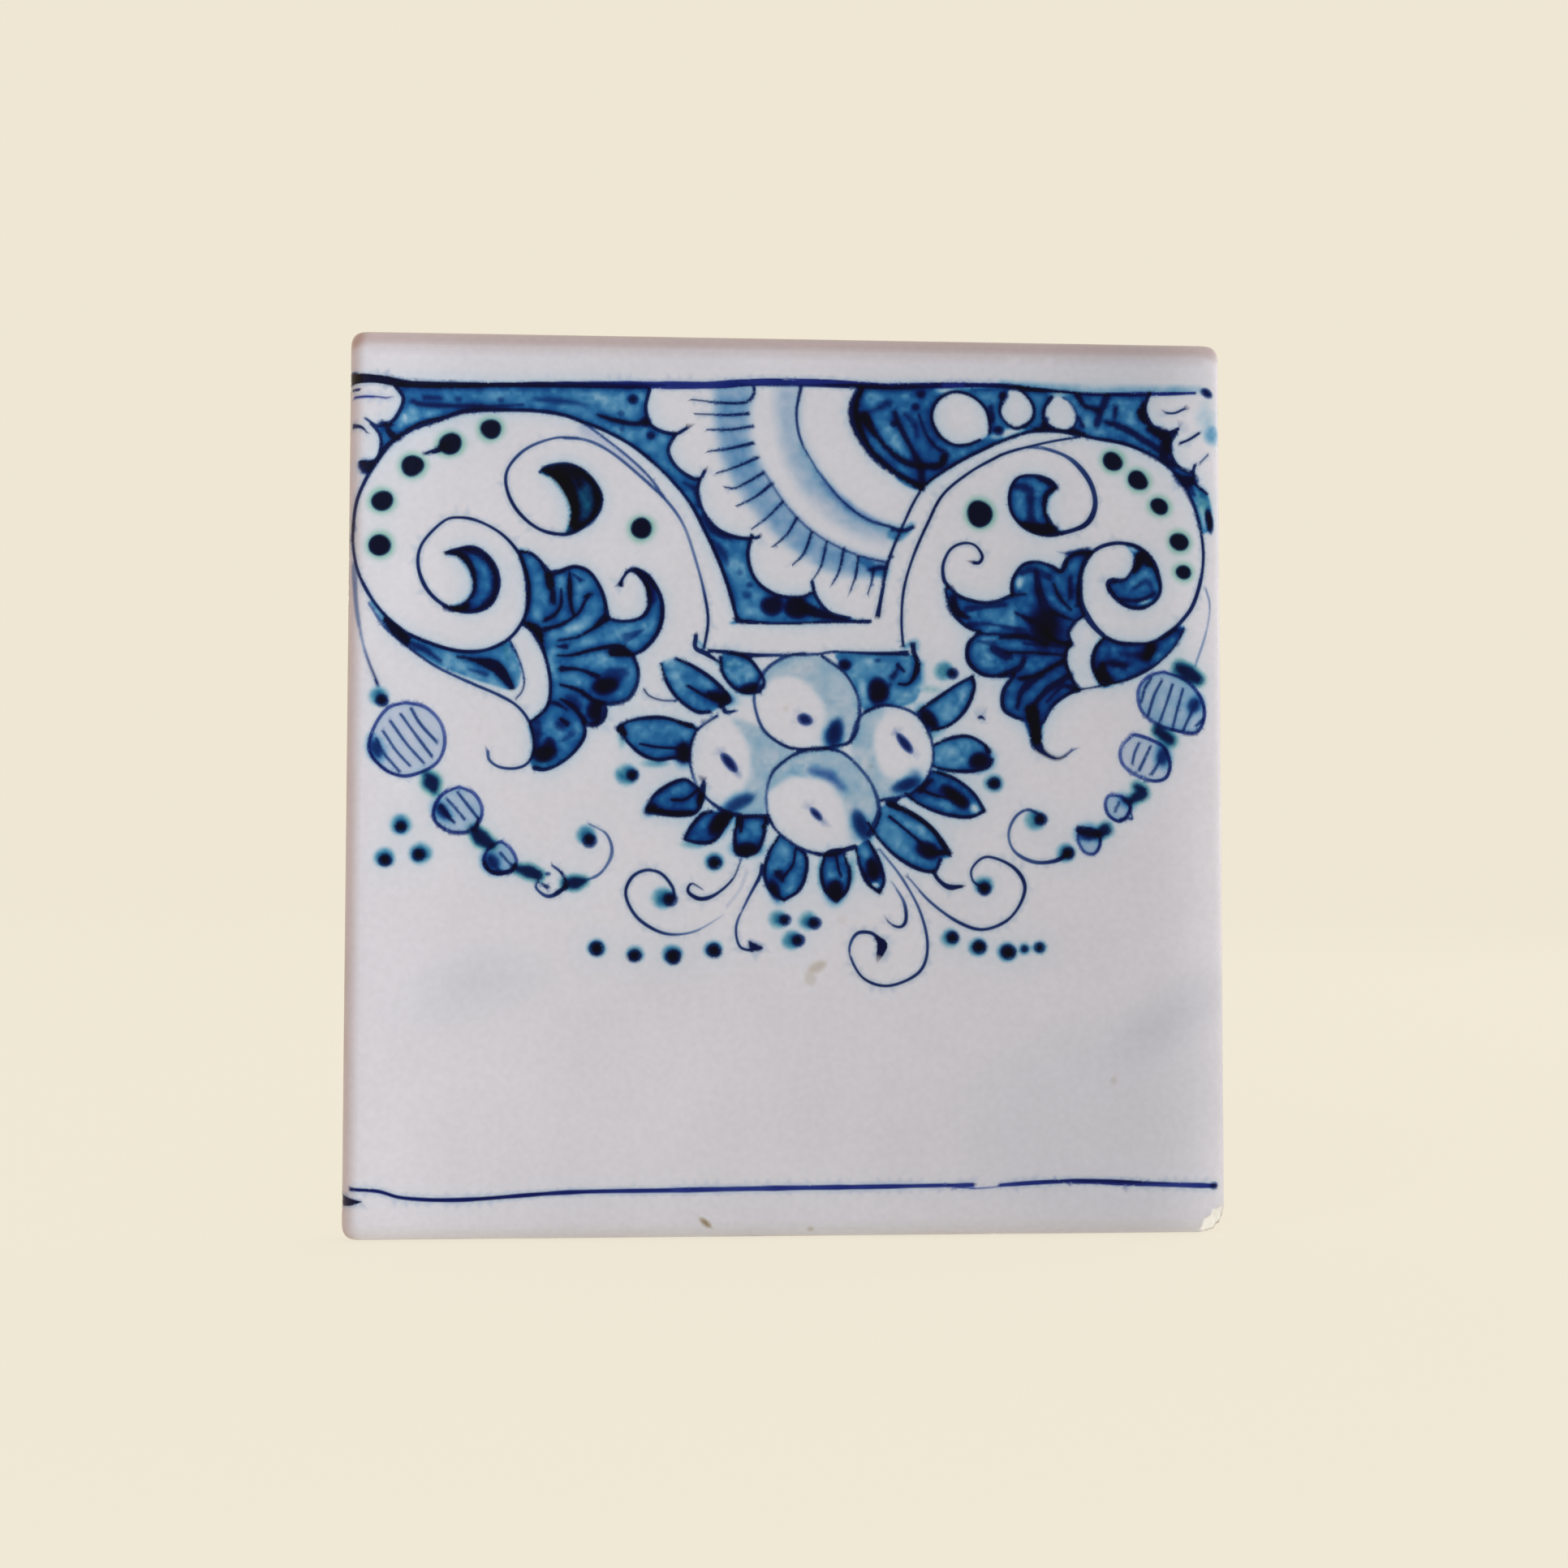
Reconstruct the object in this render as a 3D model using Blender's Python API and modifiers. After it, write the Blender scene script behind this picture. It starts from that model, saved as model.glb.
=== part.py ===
"""A hand-painted, tin-glazed wall tile, upright, with its painted face towards -Y.

Units are metres and +Z is up. The origin is the centre of the back face, the
face that is bedded on the wall, so the tile lies between y = -TILE_THICKNESS
and y = 0. Left and right are as seen from the front, with +X to the right.
"""
import math

import bmesh
import bpy
from mathutils import Vector

# Body
TILE_WIDTH = 0.1400
TILE_HEIGHT = 0.1435
TILE_THICKNESS = 0.0080
FRONT_ARRIS = 0.0035
CORNER_ARRIS = 0.0020
BACK_ARRIS = 0.0006
ARRIS_SEGMENTS = 8

# Keying grooves that the wall's mortar grips, sunk in the back
GROOVE_WIDTH = 0.0040
GROOVE_DEPTH = 0.0008
GROOVE_PITCH = 0.0240
GROOVE_END_LAND = 0.0100
GROOVE_SIDES = 96

# Chip knocked off the lower right corner of the face
CHIP_RADIUS = 0.0120
CHIP_BITE = 0.0009
CHIP_LEAN = (0.62, -0.50, -0.60)
CHIP_RINGS = 24

GLAZE_COLOUR = (0.62, 0.60, 0.63, 1.0)
GLAZE_ROUGHNESS = 0.12


def clear_scene():
    """Remove every object that the file opened with."""
    for old in list(bpy.data.objects):
        bpy.data.objects.remove(old, do_unlink=True)


def new_collection(name):
    """Make a collection under the scene's own."""
    collection = bpy.data.collections.new(name)
    bpy.context.scene.collection.children.link(collection)
    return collection


def new_material(name, colour, roughness):
    """Make a plain Principled material."""
    material = bpy.data.materials.new(name)
    material.use_nodes = True
    shader = material.node_tree.nodes["Principled BSDF"]
    shader.inputs["Base Color"].default_value = colour
    shader.inputs["Roughness"].default_value = roughness
    shader.inputs["Metallic"].default_value = 0.0
    return material


def object_from(name, mesh_data, collection):
    """Turn a bmesh into a named object of a collection."""
    mesh = bpy.data.meshes.new(name)
    mesh_data.to_mesh(mesh)
    mesh_data.free()
    made = bpy.data.objects.new(name, mesh)
    collection.objects.link(made)
    return made


def arris_width(edge):
    """Give the rounding of one edge of the block: front, back or corner."""
    middle = (edge.verts[0].co + edge.verts[1].co) / 2
    if abs(middle.y + TILE_THICKNESS) < TILE_THICKNESS / 4:
        return FRONT_ARRIS
    if abs(middle.y) < TILE_THICKNESS / 4:
        return BACK_ARRIS
    return CORNER_ARRIS


def make_body(collection):
    """Make the block of clay with each kind of edge rounded by its own width."""
    block = bmesh.new()
    bmesh.ops.create_cube(block, size=1.0)
    block_size = Vector((TILE_WIDTH, TILE_THICKNESS, TILE_HEIGHT))
    bmesh.ops.scale(block, vec=block_size, verts=block.verts)
    bmesh.ops.translate(block, vec=(0, -TILE_THICKNESS / 2, 0), verts=block.verts)
    widest = max(FRONT_ARRIS, CORNER_ARRIS, BACK_ARRIS)
    weight = block.edges.layers.float.new("bevel_weight_edge")
    for edge in block.edges:
        edge[weight] = arris_width(edge) / widest
    tile = object_from("tile", block, collection)
    rounding = tile.modifiers.new("rounded arrises", "BEVEL")
    rounding.limit_method = "WEIGHT"
    rounding.width = widest
    rounding.segments = ARRIS_SEGMENTS
    return tile


def groove_heights():
    """Space the grooves evenly about the middle, with land left at each end."""
    reach = TILE_HEIGHT / 2 - GROOVE_END_LAND - GROOVE_WIDTH / 2
    pairs = int((reach + GROOVE_PITCH / 2) / GROOVE_PITCH)
    heights = [(index + 0.5) * GROOVE_PITCH for index in range(pairs)]
    return [-height for height in heights] + heights


def make_groove_cutters(collection):
    """Make one lying cylinder for each groove, which sinks a shallow hollow in the back."""
    radius = (GROOVE_WIDTH ** 2 / 4 + GROOVE_DEPTH ** 2) / (2 * GROOVE_DEPTH)
    for number, height in enumerate(groove_heights(), start=1):
        rod = bmesh.new()
        bmesh.ops.create_cone(
            rod, cap_ends=True, segments=GROOVE_SIDES, radius1=radius, radius2=radius,
            depth=TILE_WIDTH - 2 * GROOVE_END_LAND)
        cutter = object_from(f"groove_cutter_{number}", rod, collection)
        cutter.rotation_euler = (0, math.radians(90), 0)
        cutter.location = (0, radius - GROOVE_DEPTH, height)


def make_chip_cutter(collection):
    """Make the ball that scoops the chip out of the lower right front corner."""
    ball = bmesh.new()
    bmesh.ops.create_uvsphere(ball, u_segments=2 * CHIP_RINGS, v_segments=CHIP_RINGS, radius=CHIP_RADIUS)
    cutter = object_from("chip_cutter", ball, collection)
    outwards = Vector(CHIP_LEAN).normalized()
    rounded_away = FRONT_ARRIS * (math.sqrt(3) - 1)
    corner = Vector((TILE_WIDTH / 2, -TILE_THICKNESS, -TILE_HEIGHT / 2))
    skin = corner - outwards * rounded_away
    cutter.location = skin + outwards * (CHIP_RADIUS - CHIP_BITE)


def cut_with(tile, cutters):
    """Subtract every cutter of a collection and keep the cutters out of sight."""
    for cutter in cutters.objects:
        cutter.display_type = "WIRE"
        cutter.hide_render = True
    cut = tile.modifiers.new("grooves and chip", "BOOLEAN")
    cut.operation = "DIFFERENCE"
    cut.solver = "EXACT"
    cut.operand_type = "COLLECTION"
    cut.collection = cutters


def main():
    clear_scene()
    tile_parts = new_collection("decorative_tile")
    cutters = new_collection("cutters")
    tile = make_body(tile_parts)
    tile.data.materials.append(new_material("tin_glaze", GLAZE_COLOUR, GLAZE_ROUGHNESS))
    make_groove_cutters(cutters)
    make_chip_cutter(cutters)
    cut_with(tile, cutters)


main()
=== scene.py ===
"""A hand-painted, tin-glazed wall tile, dressed for the render.

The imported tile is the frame. The piece made here stands for it: the same
rounded body with its keying grooves and its chipped corner, a face with mesh
points along every brush line, and the painting as pigment laid on that face.
Strokes and the body are in millimetres, and a stroke's points are from the
centre of the face, x to the right and z up. Lights and bumps are in metres.
"""
import math

import bpy
import numpy as np
from mathutils import Matrix, Vector
from mathutils.geometry import delaunay_2d_cdt


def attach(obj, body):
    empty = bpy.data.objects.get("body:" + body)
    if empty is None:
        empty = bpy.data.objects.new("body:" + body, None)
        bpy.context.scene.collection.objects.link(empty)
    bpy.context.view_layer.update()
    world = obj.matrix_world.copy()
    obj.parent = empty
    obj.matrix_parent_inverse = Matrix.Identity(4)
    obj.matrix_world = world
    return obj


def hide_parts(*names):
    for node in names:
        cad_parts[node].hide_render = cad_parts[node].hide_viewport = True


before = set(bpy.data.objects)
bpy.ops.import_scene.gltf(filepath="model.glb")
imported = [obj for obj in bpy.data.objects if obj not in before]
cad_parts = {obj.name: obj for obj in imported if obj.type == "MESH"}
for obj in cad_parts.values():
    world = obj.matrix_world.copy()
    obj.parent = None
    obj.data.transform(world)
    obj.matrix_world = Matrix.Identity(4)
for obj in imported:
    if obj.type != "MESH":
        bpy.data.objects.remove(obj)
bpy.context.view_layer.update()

# One millimetre in metres
MM = 0.001

# Body, as the CAD has it
HALF_WIDTH = 70.0
HALF_HEIGHT = 71.75
THICKNESS = 8.0
FRONT_ARRIS = 3.5
BACK_ARRIS = 0.6
GROOVE_HEIGHTS = (-36.0, -12.0, 12.0, 36.0)
GROOVE_HALF_WIDTH = 2.0
GROOVE_DEPTH = 0.8
GROOVE_END = 60.0

# Power of the curve that rounds a corner of the plan
CORNER_POWER = 3.4

# Chip at the CAD's corner, cut deeper so that it is as wide as in the photo
CHIP_RADIUS = 12.0
CHIP_BITE = 1.6
CHIP_LEAN = (0.62, -0.50, -0.60)
CHIP_RIPPLES = ((0.10, (2.1, 1.3, 3.3)), (0.05, (7.0, 3.0, -5.0)))
CHIP_EDGE = 0.5

# Camera, as the photo was taken
LENS = 44.72
SENSOR = 36.0
CAMERA_YAW = -3.2998
CAMERA_PITCH = -2.352
CAMERA_ROLL = 0.0899
FACE_FROM_CAMERA = (1.013, -0.237, 308.289)

# Raster of the face that pigment is laid on, and the step of a brush's path
CELL = 0.1
STEP = 0.4
SPAN_SAMPLES = 12
PIGMENTS = ("ink", "indigo", "blue", "green", "grey", "brown")

# Share of the thinner coat that is added where two strokes cross
CROSSING = 0.3

# Unsteady hand: how far width and ink vary, how many steps apart, and how far the ink lags
UNSTEADY_WIDTH = 0.12
UNSTEADY_INK = 0.10
UNSTEADY_EVERY = 5
UNSTEADY_LAG = 3

# Mesh points just outside a line, and at the edge of a wash as a share of its softness
OUTER_GUIDE = 0.55
OUTER_EVERY = 4
WASH_EDGE = 0.4

# Blots: unevenness of the rim and its waves, then the mesh points round the rim
BLOT_BUMPS = (0.01, 0.04)
BLOT_WAVES = (1, 2, 3)
BLOT_TURN = 6.28
RIM_RINGS = (-1, 0.1, 1)
RIM_POINTS = 20
LEAST_RIM_POINTS = 10
SMALLEST_RING = 0.15


def smooth_path(points, closed=False):
    """Run a Catmull-Rom curve through given points, at an even step. A doubled point is a corner."""
    knots = [np.array(point, float) for point in points]
    if closed:
        knots = [knots[-1]] + knots + knots[:2]
    else:
        knots = [2 * knots[0] - knots[1]] + knots + [2 * knots[-1] - knots[-2]]
    t = np.linspace(0, 1, SPAN_SAMPLES, endpoint=False)[:, None]
    dense = []
    for a, b, c, d in zip(knots, knots[1:], knots[2:], knots[3:]):
        dense.append(0.5 * (2 * b + (c - a) * t + (2 * a - 5 * b + 4 * c - d) * t ** 2
                            + (3 * b - a - 3 * c + d) * t ** 3))
    dense = np.vstack(dense + [knots[-2][None]])
    along = np.concatenate([[0], np.cumsum(np.hypot(*np.diff(dense, axis=0).T))])
    places = np.linspace(0, along[-1], max(3, int(along[-1] / STEP) + 1))
    return np.stack([np.interp(places, along, dense[:, axis]) for axis in (0, 1)], axis=1)


def profile(value, count):
    """Spread one value, or a few from start to end, over a path of count points."""
    values = np.atleast_1d(np.asarray(value, float))
    return np.interp(np.linspace(0, 1, count), np.linspace(0, 1, len(values)), values)


def smoothstep(value):
    """Ease from 0 to 1."""
    value = np.clip(value, 0, 1)
    return value * value * (3 - 2 * value)


def blur(field, sigma):
    """Spread a field by a Gaussian of sigma cells."""
    reach = int(3 * sigma) + 1
    weights = np.exp(-0.5 * (np.arange(-reach, reach + 1) / sigma) ** 2)
    weights /= weights.sum()
    for axis in (0, 1):
        pad = [(reach, reach) if side == axis else (0, 0) for side in (0, 1)]
        padded = np.pad(field, pad, mode="edge")
        total = np.zeros_like(field)
        for shift, weight in enumerate(weights):
            total += weight * np.take(padded, range(shift, shift + field.shape[axis]), axis=axis)
        field = total
    return field


def cloud(shape, scale, seed):
    """Make soft random mottling between -1 and 1, with blotches of about scale cells along z and x."""
    rows, columns = (max(2, int(size / each) + 2) for size, each in zip(shape, scale))
    coarse = np.random.default_rng(seed).uniform(-1, 1, (rows + 1, columns + 1))
    z = np.arange(shape[0]) / scale[0]
    x = np.arange(shape[1]) / scale[1]
    z0 = np.minimum(z.astype(int), rows - 1)
    x0 = np.minimum(x.astype(int), columns - 1)
    fz = smoothstep(z - z0)[:, None]
    fx = smoothstep(x - x0)[None, :]
    low = coarse[z0][:, x0] * (1 - fx) + coarse[z0][:, x0 + 1] * fx
    high = coarse[z0 + 1][:, x0] * (1 - fx) + coarse[z0 + 1][:, x0 + 1] * fx
    return (low * (1 - fz) + high * fz).astype(np.float32)


class Face:
    """The glazed face: how thickly each pigment lies, and where its mesh needs points."""

    def __init__(self, half_width, half_height):
        self.half = np.array([half_width, half_height])
        self.shape = tuple(int(2 * half / CELL) + 1 for half in (half_height, half_width))
        self.pigment = {name: np.zeros(self.shape, np.float32) for name in PIGMENTS}
        self.guides = []
        self.strokes = 0

    def window(self, points, margin):
        """Give the raster's part around some points, with the places of its cells."""
        low = np.floor((points.min(0) - margin + self.half) / CELL).astype(int)
        high = np.ceil((points.max(0) + margin + self.half) / CELL).astype(int) + 1
        low = np.maximum(low, 0)
        high = np.minimum(high, (self.shape[1], self.shape[0]))
        x = np.arange(low[0], high[0]) * CELL - self.half[0]
        z = np.arange(low[1], high[1]) * CELL - self.half[1]
        return (slice(low[1], high[1]), slice(low[0], high[0])), x[None, :], z[:, None]

    def sample(self, field, points):
        """Read a raster at points of the face, between its cells."""
        place = np.clip((points + self.half) / CELL, 0, np.array(self.shape[::-1]) - 1.001)
        low = place.astype(int)
        part = place - low
        fx, fz = (part[:, axis].reshape((-1,) + (1,) * (field.ndim - 2)) for axis in (0, 1))
        near = field[low[:, 1], low[:, 0]] * (1 - fx) + field[low[:, 1], low[:, 0] + 1] * fx
        far = field[low[:, 1] + 1, low[:, 0]] * (1 - fx) + field[low[:, 1] + 1, low[:, 0] + 1] * fx
        return near * (1 - fz) + far * fz

    def lay(self, name, part, layer):
        """Lay one stroke over what is there: where two cross, the pigment is a little thicker."""
        field = self.pigment[name][part]
        field[...] = np.maximum(field, layer) + CROSSING * np.minimum(field, layer)

    def line(self, points, width=0.5, ink=1.0, name="ink", soft=0.11):
        """Draw one brush line, whose width and strength may change from start to end."""
        path = smooth_path(points)
        self.strokes += 1
        rng = np.random.default_rng(self.strokes)
        marks = np.arange(0, len(path) + UNSTEADY_EVERY, UNSTEADY_EVERY)
        unsteady = np.interp(np.arange(len(path)), marks, rng.uniform(-1, 1, len(marks)))
        half = profile(width, len(path)) / 2 * (1 + UNSTEADY_WIDTH * unsteady)
        strength = profile(ink, len(path)) * (1 + UNSTEADY_INK * np.roll(unsteady, UNSTEADY_LAG))
        part, x, z = self.window(path, half.max() + 2 * soft)
        layer = np.zeros((z.size, x.size), np.float32)
        first = (x[0, 0], z[0, 0])
        for index in range(len(path) - 1):
            start, end = path[index], path[index + 1]
            reach = max(half[index], half[index + 1]) + 2 * soft
            c0, r0 = (int(max(0, (min(a, b) - reach - o) / CELL)) for a, b, o in zip(start, end, first))
            c1, r1 = (int((max(a, b) + reach - o) / CELL) + 2 for a, b, o in zip(start, end, first))
            cx, cz = x[:, c0:c1], z[r0:r1]
            run = end - start
            t = np.clip(((cx - start[0]) * run[0] + (cz - start[1]) * run[1]) / max(run @ run, 1e-9), 0, 1)
            away = np.hypot(cx - start[0] - t * run[0], cz - start[1] - t * run[1])
            edge = half[index] * (1 - t) + half[index + 1] * t
            here = strength[index] * smoothstep((edge + soft - away) / (2 * soft))
            layer[r0:r1, c0:c1] = np.maximum(layer[r0:r1, c0:c1], here)
        self.lay(name, part, layer)
        self.guide_line(path, half, soft)

    def guide_line(self, path, half, soft):
        """Ask for mesh points along the middle and both soft edges of a line."""
        run = np.gradient(path, axis=0)
        across = np.stack([-run[:, 1], run[:, 0]], 1) / (np.hypot(*run.T)[:, None] + 1e-9)
        offsets = [half + soft, -half - soft, half - soft, soft - half]
        if half.max() > 3 * soft:
            offsets.append(0 * half)
        for offset in offsets:
            self.guides.append(path + across * offset[:, None])
        for side in (-1, 1):
            self.guides.append((path + side * across * (half + soft + OUTER_GUIDE)[:, None])[::OUTER_EVERY])

    def inside(self, outline, x, z):
        """Tell which cells lie inside a closed outline."""
        within = np.zeros((z.size, x.size), bool)
        for (x0, z0), (x1, z1) in zip(outline, np.roll(outline, -1, axis=0)):
            rows = ((z0 > z) != (z1 > z))[:, 0]
            if rows.any():
                cut = x0 + (z[rows] - z0) * (x1 - x0) / (z1 - z0)
                within[rows] ^= x < cut
        return within

    def cover(self, points, soft):
        """Tell how far each cell is covered by a closed shape with a soft edge."""
        outline = smooth_path(points, closed=True)
        part, x, z = self.window(outline, 4 * soft)
        self.guide_line(outline, np.full(len(outline), soft), WASH_EDGE * soft)
        return part, blur(self.inside(outline, x, z).astype(np.float32), soft / CELL)

    def wash(self, points, depth=1.0, name="blue", soft=0.15):
        """Fill a closed shape with a thin wash."""
        part, cover = self.cover(points, soft)
        self.lay(name, part, cover * depth)

    def reserve(self, points, soft=0.12):
        """Leave a closed shape bare of the wash."""
        part, cover = self.cover(points, soft)
        self.pigment["blue"][part] *= 1 - cover

    def blot(self, x0, z0, wide, tall=None, depth=1.0, name="ink", soft=0.4, turn=0.0):
        """Drop one soft-edged spot of pigment, round or oval, a little uneven."""
        tall = tall or wide
        self.strokes += 1
        rng = np.random.default_rng(self.strokes)
        size = max(wide, tall)
        part, x, z = self.window(np.array([[x0, z0]]), size + 3 * soft)
        angle = math.radians(turn)
        u = ((x - x0) * math.cos(angle) + (z - z0) * math.sin(angle)) / wide
        v = ((z - z0) * math.cos(angle) - (x - x0) * math.sin(angle)) / tall
        bearing = np.arctan2(v, u)
        bumps = rng.uniform(*BLOT_BUMPS, len(BLOT_WAVES))
        phases = rng.uniform(0, BLOT_TURN, len(BLOT_WAVES))
        rim = 1 + sum(bump * np.sin(count * bearing + phase)
                      for bump, count, phase in zip(bumps, BLOT_WAVES, phases))
        away = (np.hypot(u, v) - rim) * math.sqrt(wide * tall)
        layer = depth * smoothstep((soft - away) / (2 * soft)).astype(np.float32)
        self.lay(name, part, layer)
        around = np.linspace(0, 2 * math.pi, max(LEAST_RIM_POINTS, int(size * RIM_POINTS)), endpoint=False)
        for share in RIM_RINGS:
            ring = wide + share * soft
            if ring > SMALLEST_RING:
                across = ring * np.cos(around)
                up = (ring + tall - wide) * np.sin(around)
                self.guides.append(np.stack([x0 + across * math.cos(angle) - up * math.sin(angle),
                                             z0 + across * math.sin(angle) + up * math.cos(angle)], 1))

    def green_dot(self, x, z, wide, tall=None, turn=0.0):
        """A thick dark dot with a soft green rim, where the copper in it ran."""
        tall = tall or wide
        run = 0.4
        self.blot(x, z, wide, tall, depth=1.5, name="ink", soft=0.22, turn=turn)
        self.blot(x, z, wide + run, tall + run, depth=0.7, name="green", soft=0.95, turn=turn)

    def bead(self, x, z, halo, core_shift, core, depth=0.95):
        """A teal bead, with its thick dark core to one side."""
        self.blot(x, z, halo * 0.85, halo * 0.8, depth=depth, name="blue", soft=0.8)
        self.blot(x, z, halo * 0.8, halo * 0.75, depth=0.35, name="green", soft=0.8)
        self.blot(x + core_shift[0], z + core_shift[1], core * 1.05, core, depth=1.25, soft=0.45)


# Painting, stroke by stroke: first the lines that several strokes share
LEFT_ARC = [(-69.2, 38), (-68.7, 43), (-67.6, 46.2), (-65.5, 50), (-62.8, 53.6), (-59, 56), (-55.4, 57.2),
            (-51.2, 58.5), (-45, 58.8), (-40.1, 58.7), (-36, 58.1), (-33.2, 57.1)]
LEFT_BORDER = [(-33.2, 57.1), (-29.7, 55.8), (-24.8, 53.1), (-20, 49), (-16.2, 44.6), (-13.8, 40.2),
               (-11.5, 35.3), (-9.8, 30.6), (-8.6, 26.1)]
SHELL_LOBES = [
    [(-22.5, 62.4), (-23.1, 59.6), (-22.4, 56.9), (-20.4, 55.7), (-18.3, 55.4), (-16.6, 56.3)],
    [(-18.3, 55.4), (-19.5, 52.8), (-18.3, 50.2), (-16, 48.5), (-14.5, 48.2), (-13.7, 49.5)],
    [(-14.5, 48.2), (-14.8, 46), (-13.9, 43), (-11.7, 40.3), (-8.8, 39), (-6, 38.8), (-5, 39.1)],
    [(-6.2, 39.3), (-6.8, 36), (-5.7, 32.4), (-2.9, 30.1), (0.8, 29.4), (3.2, 30.1)],
    [(3.4, 32), (4.1, 29.5), (6.2, 27.1), (9.4, 26.2)]]
RIBS = [
    [(-15.9, 60.9), (-11, 60.45), (-7.3, 60.6), (-6, 61.8), (-5.9, 62.9)],
    [(-15.3, 58.6), (-10, 58.5), (-6.8, 58.8)],
    [(-13.4, 56.1), (-9.5, 56.2), (-6, 56.8)],
    [(-13.2, 52.6), (-9.5, 53.2), (-6, 54.1)],
    [(-11.9, 49.1), (-8.5, 50.3), (-5.4, 51.7)],
    [(-10.5, 46.9), (-8.6, 46.9), (-4.4, 49.3)],
    [(-8.6, 43.9), (-5.6, 45.5), (-3, 47.6)],
    [(-6.2, 40.3), (-3.6, 42.3), (-1.3, 44.7)],
    [(-2.8, 37.5), (-0.6, 39.5), (1, 42.2)],
    [(0.3, 34.6), (2.1, 36.5), (3.4, 40)],
    [(3.5, 32.2), (4.8, 34.4), (5.8, 38.5)],
    [(6.7, 31.7), (7.8, 34), (8.5, 37.3)],
    [(9.6, 30.7), (10.4, 33.1), (10.8, 36.2)],
    [(12.3, 30.1), (12.9, 31.9), (13.2, 34)]]
RIB_EDGE = [(-4.4, 49.6), (-1.3, 44.9), (2, 41.2), (6, 38.4), (11, 36.2), (15.3, 35.2)]
HOLLOW_EDGE = [(1.6, 63.2), (0.9, 59), (1.6, 54.6), (4.2, 49.8), (8.2, 45), (12.2, 42.1), (16, 40.9),
               (18, 40.3)]
DARK_EDGE = [(11.2, 63.2), (10.1, 60.5), (10.3, 57.6), (12, 54), (14.4, 51.3), (17.2, 49.3), (21, 47.2)]
RIGHT_OUTER = [(13.9, 26.6), (14.7, 31), (15.4, 34.8), (17.6, 40.4), (21, 47), (25.5, 50.6), (31, 53.6),
               (36, 55.8)]
RIGHT_INNER = [(17.95, 21.8), (17.7, 26), (18.1, 31), (19.6, 36.2), (21.9, 41.5), (24.4, 46.2), (28.8, 49.9),
               (33.7, 52.7)]


def ruled_lines(face):
    """Draw the frame line near the top edge and the one near the bottom edge."""
    top = [(-69.7, 63.6), (-65, 63.4), (-60, 62.7), (-50, 62.7), (-40, 62.95), (-30, 63.05), (-20, 63.15),
           (-12.5, 63.3), (-6.3, 63.8), (0, 64), (7.7, 63.9), (15, 63.6), (21.3, 63.75), (32.4, 64),
           (40.3, 63.4), (47.7, 62.8), (57.5, 62.9), (65.4, 63.2)]
    face.line(top, (1.6, 1.1, 0.85, 0.9, 1.25, 1.3, 1.25, 1.1, 1, 0.95, 0.7, 0.5, 0.7, 0.5), 1.1, "indigo")
    face.line(top[:5] + top[5:7], (1.6, 1.1, 0.8, 0.8, 0.4), (1.2, 0.3))
    face.line([(-8, 63.3), (12, 63.5), (16, 63.4), (24, 63.9)], (0.3, 0.4, 1, 0.6), (0.3, 0.5, 1, 0.5))
    face.line([(28, 63.9), (34, 63.8), (40, 63.3), (46, 63)], (0.4, 0.8, 0.9, 0.4), (0.5, 0.8, 0.5))
    face.blot(-69.4, 63.7, 1.3, 0.85, 2.4)
    face.blot(67.3, 63.25, 0.9, 0.6, 1.2, turn=-25)
    face.line([(34, 64.1), (50, 63.6), (66, 63.8)], 1.2, 0.22, "blue", 0.5)
    bottom = [(-68.3, -63.4), (-64, -63.7), (-59.7, -64.8), (-50.7, -65.1), (-34.6, -64.1), (-18.5, -63.9),
              (-1.5, -63.7), (13, -63.6), (29, -63.4)]
    face.line(bottom, (0.6, 0.7, 0.85, 0.6), 1, "indigo")
    face.line(bottom[:6], (0.4, 0.5, 0.3), (0.5, 0.5, 0.2))
    face.line([(25, -63.6), (29.3, -64), (33.5, -63.7)], 0.3, (0.9, 0.5, 0.4), "indigo")
    face.line([(33.3, -63.5), (40.1, -63.1), (46.8, -63), (57.2, -63.5), (67.8, -63.9)], (0.6, 0.9, 0.8), 1,
              "indigo")
    face.line([(40, -62.9), (50, -63), (60, -63.4)], (0.3, 0.5, 0.3), (0.3, 0.5, 0.3))
    face.blot(67.6, -63.9, 0.5, 0.45, 0.9)
    face.line([(-69.6, -65.3), (-68.4, -65.4), (-66.6, -65.3)], (1.5, 1, 0.2), 1.3)


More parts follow.
